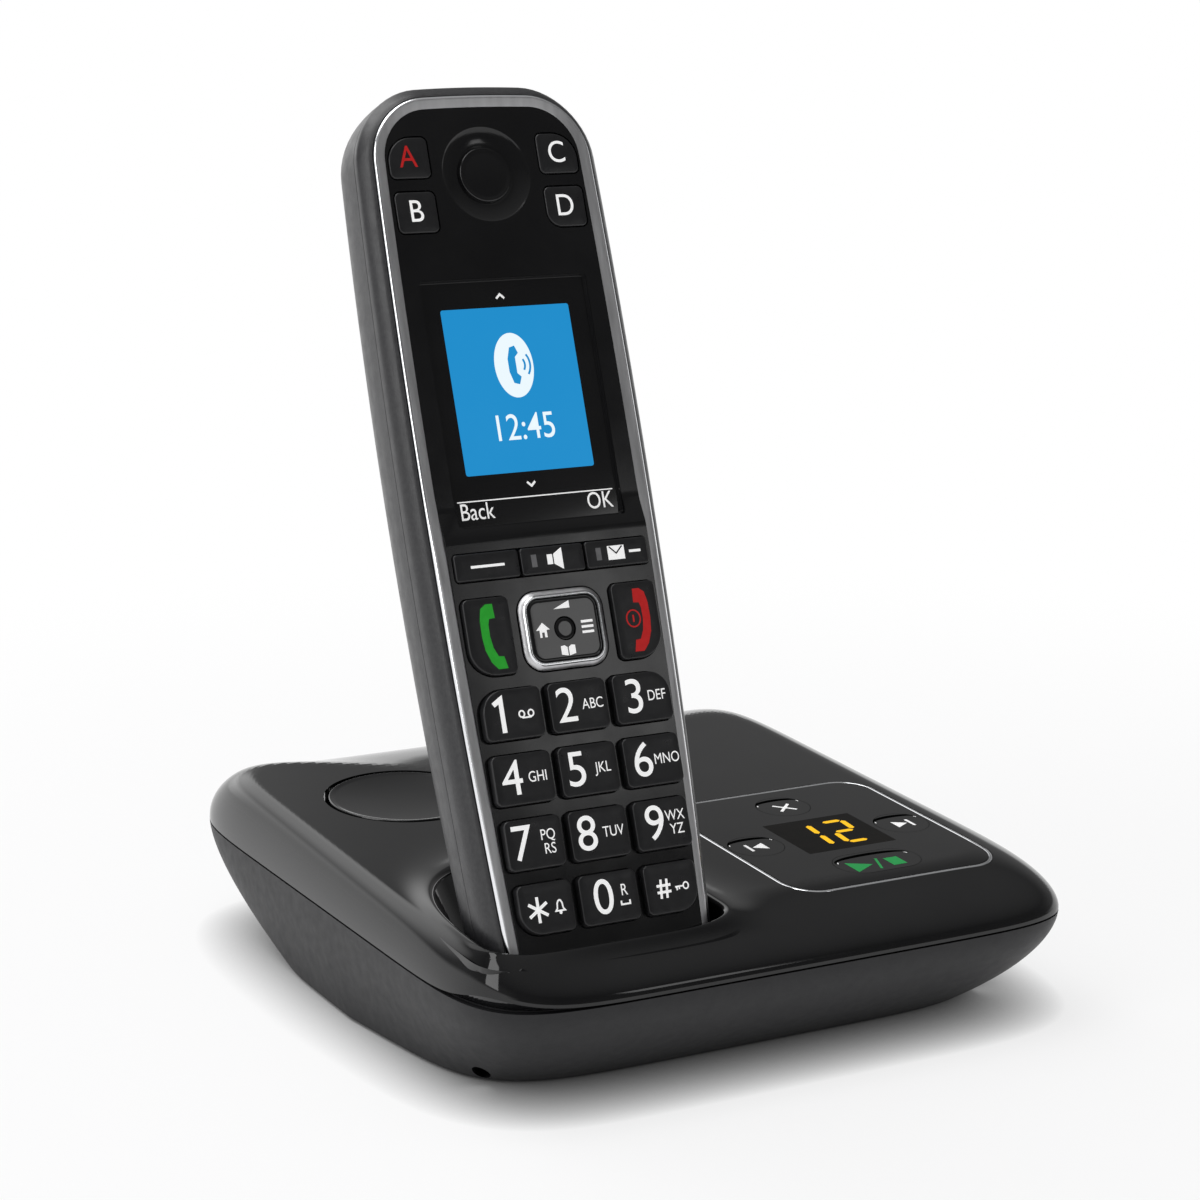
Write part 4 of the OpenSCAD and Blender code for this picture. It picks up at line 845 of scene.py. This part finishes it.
rear = loft("rear_shell", back_rings, [SATIN], STOOD)
cutters = [lid_zone(0)]
for s in range(-2, 3):
    cutters.append(slab(1.6, 12 - 3 * abs(s), 0.75, -HS_DEPTH - 1, -HS_DEPTH + 4.5, on_face(5 * s, 128), 5))
for x, y in [(-10, 8.6), (10, 8.6), (-15.8, 143.4), (15.8, 143.4)]:
    cutters.append(rod(2.2, -HS_DEPTH - 1, -back_depth(y) + 3, on_face(x, y)))
for x in (-PIN_X, PIN_X):
    cutters.append(slab(5.1, 5.1, 0.3, -4, 1, on_face(x, 0, PIN_Z) @ LAID, 3))
piece(cut(rear, cutters), "handset", "handset_rear_cover", slot="handset_black")
lid = loft("battery_lid_skin", back_rings, [SATIN], STOOD)
cut(lid, [lid_zone(LID_GAP)], "INTERSECT")
cut(lid, [rod(2, -4.5, 4.5, on_face(0, LID_Y[0] + 1, -HS_DEPTH - 1.4) @ Matrix.Rotation(pi / 2, 4, "Y"))])
piece(lid, "battery_lid", "battery_cover", slot="handset_black")

# ---- handset: receiver, display
cap = [(0, -1.5), (CAP_R - 0.05, -1.5), (CAP_R - 0.05, -0.62)] + arc(CAP_R - 0.35, -0.62, 0.3, 0, 90, 6)[1:]
cap += [((CAP_R - 0.75) * t, -0.42 + 0.10 * (1 - t * t)) for t in (1, 0.9, 0.75, 0.6, 0.45, 0.3, 0.15, 0)]
receiver = turned("receiver_disc", cap, [GLOSS], on_face(0, EAR_Y))
piece(receiver, "handset", "receiver_cap", slot="gloss_black")

LENS_EDGE = ((0, -1.6), (0, -0.06), (-0.1, -0.03), (-0.34, -LENS_SINK + 0.03), (-0.4, -LENS_SINK))
glass = loft("display_frame", [rounded_ring(WINDOW_W, WINDOW_H, [WINDOW_R] * 4, d, z) for d, z in LENS_EDGE],
             [LENS], on_face(0, WINDOW_Y), 25)
piece(glass, "handset", "display_lens", slot="lens_glass")


def lens_print(name, layer):
    return Print(name, "handset", STOOD, lambda x, y: layer * PRINT_H - LENS_SINK)


SIGN_Y, RULE_Y, WORDS_Y = SCREEN_Y + 4.6, 96.3, 94.2
screen = lens_print("display_picture", 0)
screen.poly([(x + SCREEN_X, y + SCREEN_Y) for x, y in rounded(SCREEN_W, SCREEN_H, 0.5, 6)], LCD)
screen.done("screen")
sign = lens_print("display_sign", 2.5)
receiver_half = [(-1.9, 3.3), (-0.7, 3.6), (-0.1, 2.2), (-0.9, 1.5)]
receiver_sign = receiver_half + [(x, -y) for x, y in reversed(receiver_half)] + [(-2.6, -1.2), (-2.6, 1.2)]
sign.poly([(x * 0.95 + 1.3 + SCREEN_X, y * 1.05 + SIGN_Y) for x, y in receiver_sign], LCD)
for r in (1.3, 2.4):
    sign.stroke(arc(1.0 + SCREEN_X, SIGN_Y, r, -42, 42, 12, 1.2 * r), 0.42, LCD)
sign.done("screen")
art = lens_print("display_print", 1)
art.disc(SCREEN_X, SIGN_Y, 4.1, LCD_WHITE, 6.3, 64)
art.text("12:45", SCREEN_X, SCREEN_Y - 7.6, 7.2, LCD_WHITE, 0.86, 0.01)
art.stroke([(-16.6, RULE_Y), (16.4, RULE_Y)], 0.22)
art.text("Back", -16.4, WORDS_Y, 4.6, WHITE, 0.82, align="LEFT")
art.text("OK", 16.2, WORDS_Y, 4.6, WHITE, 0.84, align="RIGHT")
for x, y, rise in ((-0.9, 134.8, 0.8), (-0.6, 99.1, -0.8)):
    art.stroke([(x - 0.85, y), (x, y + rise), (x + 0.85, y)], 0.42)
art.done()


# ---- handset: keys
def key_cap(name, flange=0.45, soft=0.36):
    """Key with a flange under the cover and a soft edge; gives the print that goes on it."""
    at, w, l, radii, h = keys[name]
    shape = [(flange, -HS_WALL - 0.85), (flange, -HS_WALL - 0.05), (0, -HS_WALL - 0.05), (0, h - soft - 0.1)]
    shape += arc(-soft, h - 0.1 - soft, soft, 0, 90, 6)[1:] + [(-0.9, h - 0.035), (-1.6, h)]
    cap = loft(name + "_top", [rounded_ring(w, l, radii, d, z) for d, z in shape], [KEY], on_face(*at), 50)
    piece(cap, name + "_cap", name, slot="key_black")
    return Print(name + "_print", name + "_cap", on_face(*at), lambda x, y: h)


LETTERS = {"key_2": "ABC", "key_3": "DEF", "key_4": "GHI", "key_5": "JKL", "key_6": "MNO", "key_8": "TUV"}
SHIFT = {"key_3": 0.8, "key_6": 0.4, "key_9": 1.0, "key_4": 0.3, "key_7": -0.1, "key_0": 1.3}
for name in NUMBERS:
    p = key_cap(name)
    if name == "key_star":
        for a in (90, 30, -30):
            c, s = 2.2 * cos(radians(a)), 2.4 * sin(radians(a))
            p.stroke([(-1.9 - c, -0.1 - s), (-1.9 + c, -0.1 + s)], 0.6)
        bell = [(0.95, -0.9), (0.6, -0.45), (0.5, 0.5), (0.25, 0.95)]
        bell = [(-x, y) for x, y in bell] + [(0, 1.05)] + bell[::-1]
        p.stroke([(2.6 + x, 0.1 + y) for x, y in bell], 0.3, closed=True)
        p.disc(2.6, -1.15, 0.32)
    elif name == "key_hash":
        for o in (-0.62, 0.62):
            p.stroke([(o - 1.96, -1.8), (o - 1.64, 1.8)], 0.5)
            p.stroke([(-3.3, o), (-0.3, o)], 0.5)
        p.loop(2.9, 0, 0.55, 0.62, 0.28)
        p.stroke([(2.35, 0.0), (0.6, 0.0)], 0.3)
        p.stroke([(0.95, 0.0), (0.95, -0.7)], 0.3)
        p.stroke([(1.45, 0.0), (1.45, -0.55)], 0.3)
    elif name == "key_1":
        p.stroke([(-4.0, 2.0), (-2.4, 2.95), (-2.4, -3.3)], 0.95)
        p.loop(1.55, -0.2, 0.55, 0.6, 0.3)
        p.loop(3.45, -0.2, 0.55, 0.6, 0.3)
        p.stroke([(1.55, -0.92), (3.45, -0.92)], 0.3)
    else:
        p.text(name[4:], -2.7 + SHIFT.get(name, 0.0), 0.0, 9.4, WHITE, 0.98)
    if name == "key_0":
        p.text("R", 3.0, 1.0, 3.1, WHITE, 0.8)
        p.stroke([(2.1, -0.9), (2.1, -1.6), (3.9, -1.6), (3.9, -0.9)], 0.34)
    elif name in ("key_7", "key_9"):
        upper, lower = ("PQ", "RS") if name == "key_7" else ("WX", "YZ")
        p.text(upper, 2.7, 1.25, 2.85, WHITE, 0.84)
        p.text(lower, 2.8, -1.35, 2.85, WHITE, 0.84)
    elif name in LETTERS:
        p.text(LETTERS[name], 2.8, 0.05, 2.85, WHITE, 0.82)
    if name == "key_5":
        p.disc(0.1, 0.1, 0.28, KEY)
    p.done()

for letter, mat in (("a", RED), ("b", WHITE), ("c", WHITE), ("d", WHITE)):
    p = key_cap("key_" + letter)
    p.text(letter.upper(), -0.25, 0, 6.1, mat, 0.92)
    p.done()

LAMP = [(-4.6, -1.2), (-3.5, -1.2), (-3.5, 1.2), (-4.6, 1.2)]
p = key_cap("softkey_left", 0.1)
p.stroke([(-3.5, 0), (3.5, 0)], 0.5)
p.done()
p = key_cap("speaker_key", 0.1)
p.poly(LAMP, GREY)
p.poly([(-1.3, -0.95), (-0.15, -0.95), (-0.15, 0.95), (-1.3, 0.95)])
p.poly([(0.1, -0.95), (1.95, -2.1), (1.95, 2.1), (0.1, 0.95)])
p.done()
p = key_cap("message_key", 0.1)
p.poly(LAMP, GREY)
p.poly([(-2.1, -1.35), (1.5, -1.35), (1.5, 1.35), (-2.1, 1.35)])
fold = Print("message_fold", p.body, p.matrix, lambda x, y: p.z(x, y) + PRINT_H)
fold.stroke([(-1.7, 1.2), (-0.3, -0.15), (1.1, 1.2)], 0.28, KEY)
fold.done()
p.stroke([(2.5, 0), (5.0, 0)], 0.5)
p.done()


def receiver_mark(p, side, mat, x, y, s=1.0):
    """Bent bar with two square ends, the usual sign for a call."""
    outline = [(1.55, 6.0), (0.1, 6.0), (-1.0, 5.2), (-1.45, 3.0), (-1.5, 0.0), (-1.2, -2.6), (-0.3, -4.9),
               (0.9, -6.3), (2.9, -6.3), (2.4, -4.0), (1.3, -3.9), (0.5, -2.2), (0.15, 0.0), (0.2, 2.2),
               (0.5, 3.2), (1.7, 3.3)]
    p.poly([(x + side * a * s, y + b * s) for a, b in outline], mat)


p = key_cap("talk_key")
receiver_mark(p, 1, GREEN, -0.35, 0.1)
p.done()
p = key_cap("end_key")
receiver_mark(p, -1, RED, 1.15, 0.1, 0.98)
p.loop(-1.0, 0.3, 1.45, 1.6, 0.3, RED, 32)
p.stroke([(-1.0, -0.4), (-1.0, 1.0)], 0.36, RED)
p.done()


# ---- handset: navigation key
def nav_rings(*rows):
    return [rounded_ring(NAV_W, NAV_L, [NAV_R] * 4, d, z, 14, 0.3) for d, z in rows]


NAV = on_face(0, NAV_Y)
RIM_TOP, PAD_TOP = PAD_H + 1.2, PAD_H + 0.95
rim_rings = nav_rings((-1.5, -HS_WALL - 0.6), (0, -HS_WALL - 0.6), (0, PAD_H + 0.1), (-0.1, PAD_H + 0.3),
                      (-0.72, RIM_TOP - 0.42), (-0.84, RIM_TOP - 0.36), (-0.95, RIM_TOP - 0.14),
                      (-1.08, RIM_TOP - 0.02), (-1.25, RIM_TOP), (-1.42, RIM_TOP - 0.04),
                      (-1.5, RIM_TOP - 0.2))
index = [int(i in (2, 3, 4)) for i, ring in enumerate(rim_rings) for p in ring]
rim = hoop("nav_rim_ring", rim_rings, [CHROME, BRUSHED], NAV, index, 50)
piece(rim, "nav_rim", "nav_frame", slot="silver_trim")


def dish(d):
    """Height of the pad, rounded over at its edge, at an inset d from the rim's outline."""
    return PAD_TOP - 0.14 * clamp((2.2 + d) / 0.5) ** 2


PAD_EDGE = (-1.8, -1.95, -2.1, -2.3, -3.0, -4.5, -6.0, -7.2)
pad_rings = nav_rings((-1.7, -HS_WALL - 0.8), (-1.7, dish(-1.7) - 0.05), *[(d, dish(d)) for d in PAD_EDGE])
pad = loft("nav_pad_top", pad_rings, [GLOSS], NAV)
cut(pad, [rod(CENTER_R + 0.2, -6, 6, NAV, 64)])
piece(pad, "nav_rocker", "nav_pad", slot="gloss_black")
dome = [(0, -3), (CENTER_R, -3), (CENTER_R, PAD_H + 0.7), (CENTER_R - 0.08, PAD_H + 0.84),
        (CENTER_R - 0.25, PAD_H + 0.9)] + [(CENTER_R * t, PAD_H + 0.9) for t in (0.6, 0.3, 0)]
center = turned("nav_center_top", dome, [GLOSS], NAV, 64)
piece(center, "nav_center", "nav_center_key", slot="gloss_black")
p = Print("nav_print", "nav_rocker", NAV, lambda x, y: dish(max(abs(x) - NAV_W / 2, abs(y) - NAV_L / 2)))
p.poly([(-1.8, 3.8), (1.6, 3.8), (1.6, 5.2)])
for y in (-1.1, -0.1, 0.9):
    p.stroke([(3.5, y), (6.0, y)], 0.48)
house = [(-5.4, -1.3), (-5.4, 0.1), (-6.1, 0.1), (-4.65, 1.5), (-3.2, 0.1), (-3.9, 0.1), (-3.9, -1.3),
         (-4.4, -1.3), (-4.4, -0.35), (-4.95, -0.35), (-4.95, -1.3)]
p.poly(house)
for side in (-1, 1):
    p.poly([(side * x, y) for x, y in ((0.12, -5.2), (1.5, -4.9), (1.5, -3.3), (0.7, -3.2), (0.12, -3.6))])
p.done()


# ---- surroundings
def floor_paint():
    """Pale paint that fades to plain white away from the object; close to it, ambient occlusion darkens its
    glow into a painted contact shadow.
    """
    paint = bpy.data.materials.new("floor_paint")
    paint.use_nodes = True
    tree = paint.node_tree
    link = tree.links.new
    shader = set_inputs(tree.nodes["Principled BSDF"], [
        ("Base Color", (0.86, 0.86, 0.87, 1)), ("Roughness", 0.85), ("Specular IOR Level", 0.1)])
    glow = shader_node(tree, "ShaderNodeEmission")
    where = shader_node(tree, "ShaderNodeTexCoord")
    length = shader_node(tree, "ShaderNodeVectorMath", operation="LENGTH")
    fade = shader_node(tree, "ShaderNodeMapRange", [("From Min", 0.12), ("From Max", 0.42), ("To Min", 0.76)],
                       interpolation_type="SMOOTHSTEP")
    both = shader_node(tree, "ShaderNodeMixShader")
    # ambient occlusion darkens the floor's glow close to the object: a painted contact shadow
    contact = shader_node(tree, "ShaderNodeAmbientOcclusion", [("Distance", 0.014)], samples=16)
    painted_shadow_gamma = shader_node(tree, "ShaderNodeGamma", [("Gamma", 1.3)])
    link(where.outputs["Object"], length.inputs[0])
    link(length.outputs["Value"], fade.inputs["Value"])
    link(fade.outputs["Result"], both.inputs["Fac"])
    link(shader.outputs["BSDF"], both.inputs[1])
    link(glow.outputs["Emission"], both.inputs[2])
    link(contact.outputs["Color"], painted_shadow_gamma.inputs["Color"])
    link(painted_shadow_gamma.outputs["Color"], glow.inputs["Color"])
    link(both.outputs["Shader"], tree.nodes["Material Output"].inputs["Surface"])
    return paint


SPOKES, REACH = 64, (0.3, 1.0, 3.0, 12.0, 60.0)  # the floor's rings, in metres
mesh = bpy.data.meshes.new("floor")
mesh.from_pydata([(0, 0, 0)] + [(x, y, 0) for r in REACH for x, y in circle(0, 0, r, SPOKES)], [],
                 [(0, 1 + i, 1 + (i + 1) % SPOKES) for i in range(SPOKES)] +
                 [[1 + v for v in face] for face in ring_faces(len(REACH), SPOKES)])
mesh.materials.append(floor_paint())
floor = added("floor", mesh)


def grey_ramp(tree, stops):
    ramp = shader_node(tree, "ShaderNodeValToRGB")
    points = ramp.color_ramp.elements
    for stop, (at, v) in zip(points, (stops[0], stops[-1])):
        stop.position, stop.color = at, (v, v, v, 1)
    for at, v in stops[1:-1]:
        points.new(at).color = (v, v, v, 1)
    return ramp


def light_world(world):
    """Even studio walls, darker at eye level in front, with a broad soft light behind the object."""
    world.use_nodes = True
    tree = world.node_tree
    link = tree.links.new
    where = shader_node(tree, "ShaderNodeTexCoord").outputs["Generated"]
    parts = shader_node(tree, "ShaderNodeSeparateXYZ")
    walls = grey_ramp(tree, [(0.0, 1.0), (0.10, 1.0), (0.18, 0.26), (0.34, 0.24), (0.5, 0.14), (1.0, 0.4)])
    front_walls = grey_ramp(tree, [(0.0, 0.14), (0.5, 0.12), (1.0, 0.4)])
    ahead = shader_node(tree, "ShaderNodeVectorMath", [(1, (0.35, -0.94, 0))], operation="DOT_PRODUCT")
    front = grey_ramp(tree, [(0.25, 0.0), (0.6, 1.0)])
    pick = shader_node(tree, "ShaderNodeMix", data_type="RGBA")
    plain = set_inputs(tree.nodes["Background"], [("Strength", 1.0)])
    rear = Vector((-0.16, 0.87, 0.46)).normalized()
    toward = shader_node(tree, "ShaderNodeVectorMath", [(1, rear)], operation="DOT_PRODUCT")
    patch = shader_node(tree, "ShaderNodeMapRange", [("From Min", 0.84), ("From Max", 1.0), ("To Max", 1.8)],
                        interpolation_type="SMOOTHSTEP")
    glow = shader_node(tree, "ShaderNodeBackground")
    total = shader_node(tree, "ShaderNodeAddShader")
    link(where, parts.inputs["Vector"])
    link(where, ahead.inputs[0])
    link(where, toward.inputs[0])
    link(ahead.outputs["Value"], front.inputs["Fac"])
    link(parts.outputs["Z"], walls.inputs["Fac"])
    link(parts.outputs["Z"], front_walls.inputs["Fac"])
    link(front.outputs["Color"], pick.inputs[0])
    link(walls.outputs["Color"], pick.inputs[6])
    link(front_walls.outputs["Color"], pick.inputs[7])
    link(pick.outputs[2], plain.inputs["Color"])
    link(toward.outputs["Value"], patch.inputs["Value"])
    link(patch.outputs["Result"], glow.inputs["Strength"])
    link(plain.outputs["Background"], total.inputs[0])
    link(glow.outputs["Background"], total.inputs[1])
    link(total.outputs["Shader"], tree.nodes["World Output"].inputs["Surface"])


scene.world = bpy.data.worlds.new("studio")
light_world(scene.world)


def softbox(name, at, aim, w, l, power):
    data = bpy.data.lights.new(name, "AREA")
    data.shape, data.size, data.size_y, data.energy = "RECTANGLE", w, l, power
    obj = added(name, data)
    obj.location = at
    obj.rotation_mode = "QUATERNION"
    obj.rotation_quaternion = (Vector(aim) - Vector(at)).to_track_quat("-Z", "Y")


softbox("overhead", (-0.5, 0.5, 1.9), (0, 0, 0.03), 1.6, 1.6, 26)
softbox("front_strip", (0.525, -1.02, 0.525), (-0.037, -0.052, 0.073), 0.13, 0.17, 0.135)
softbox("left_side", (-1.5, -0.3, 0.9), (0, 0, 0.05), 0.8, 1.2, 9)

# ---- camera
CAMERA_AT, CAMERA_LENS, SENSOR = (-0.28594, -0.52536, 0.21108), 88.2258, 36
YAW, PITCH, ROLL = radians(28.26), radians(12.52), radians(0.18)
forward = Vector((sin(YAW) * cos(PITCH), cos(YAW) * cos(PITCH), -sin(PITCH)))
right = forward.cross(Vector((0, 0, 1))).normalized()
up = right.cross(forward)
camera = added("camera", bpy.data.cameras.new("camera"))
camera.data.sensor_width, camera.data.lens = SENSOR, CAMERA_LENS
camera.data.clip_start, camera.data.clip_end = 0.05, 200
basis = Matrix((right, up, -forward)).transposed() @ Matrix.Rotation(ROLL, 3, "Z")
camera.rotation_mode = "QUATERNION"
camera.location = CAMERA_AT
camera.rotation_quaternion = basis.to_quaternion()
scene.camera = camera
scene.view_settings.view_transform = "Standard"
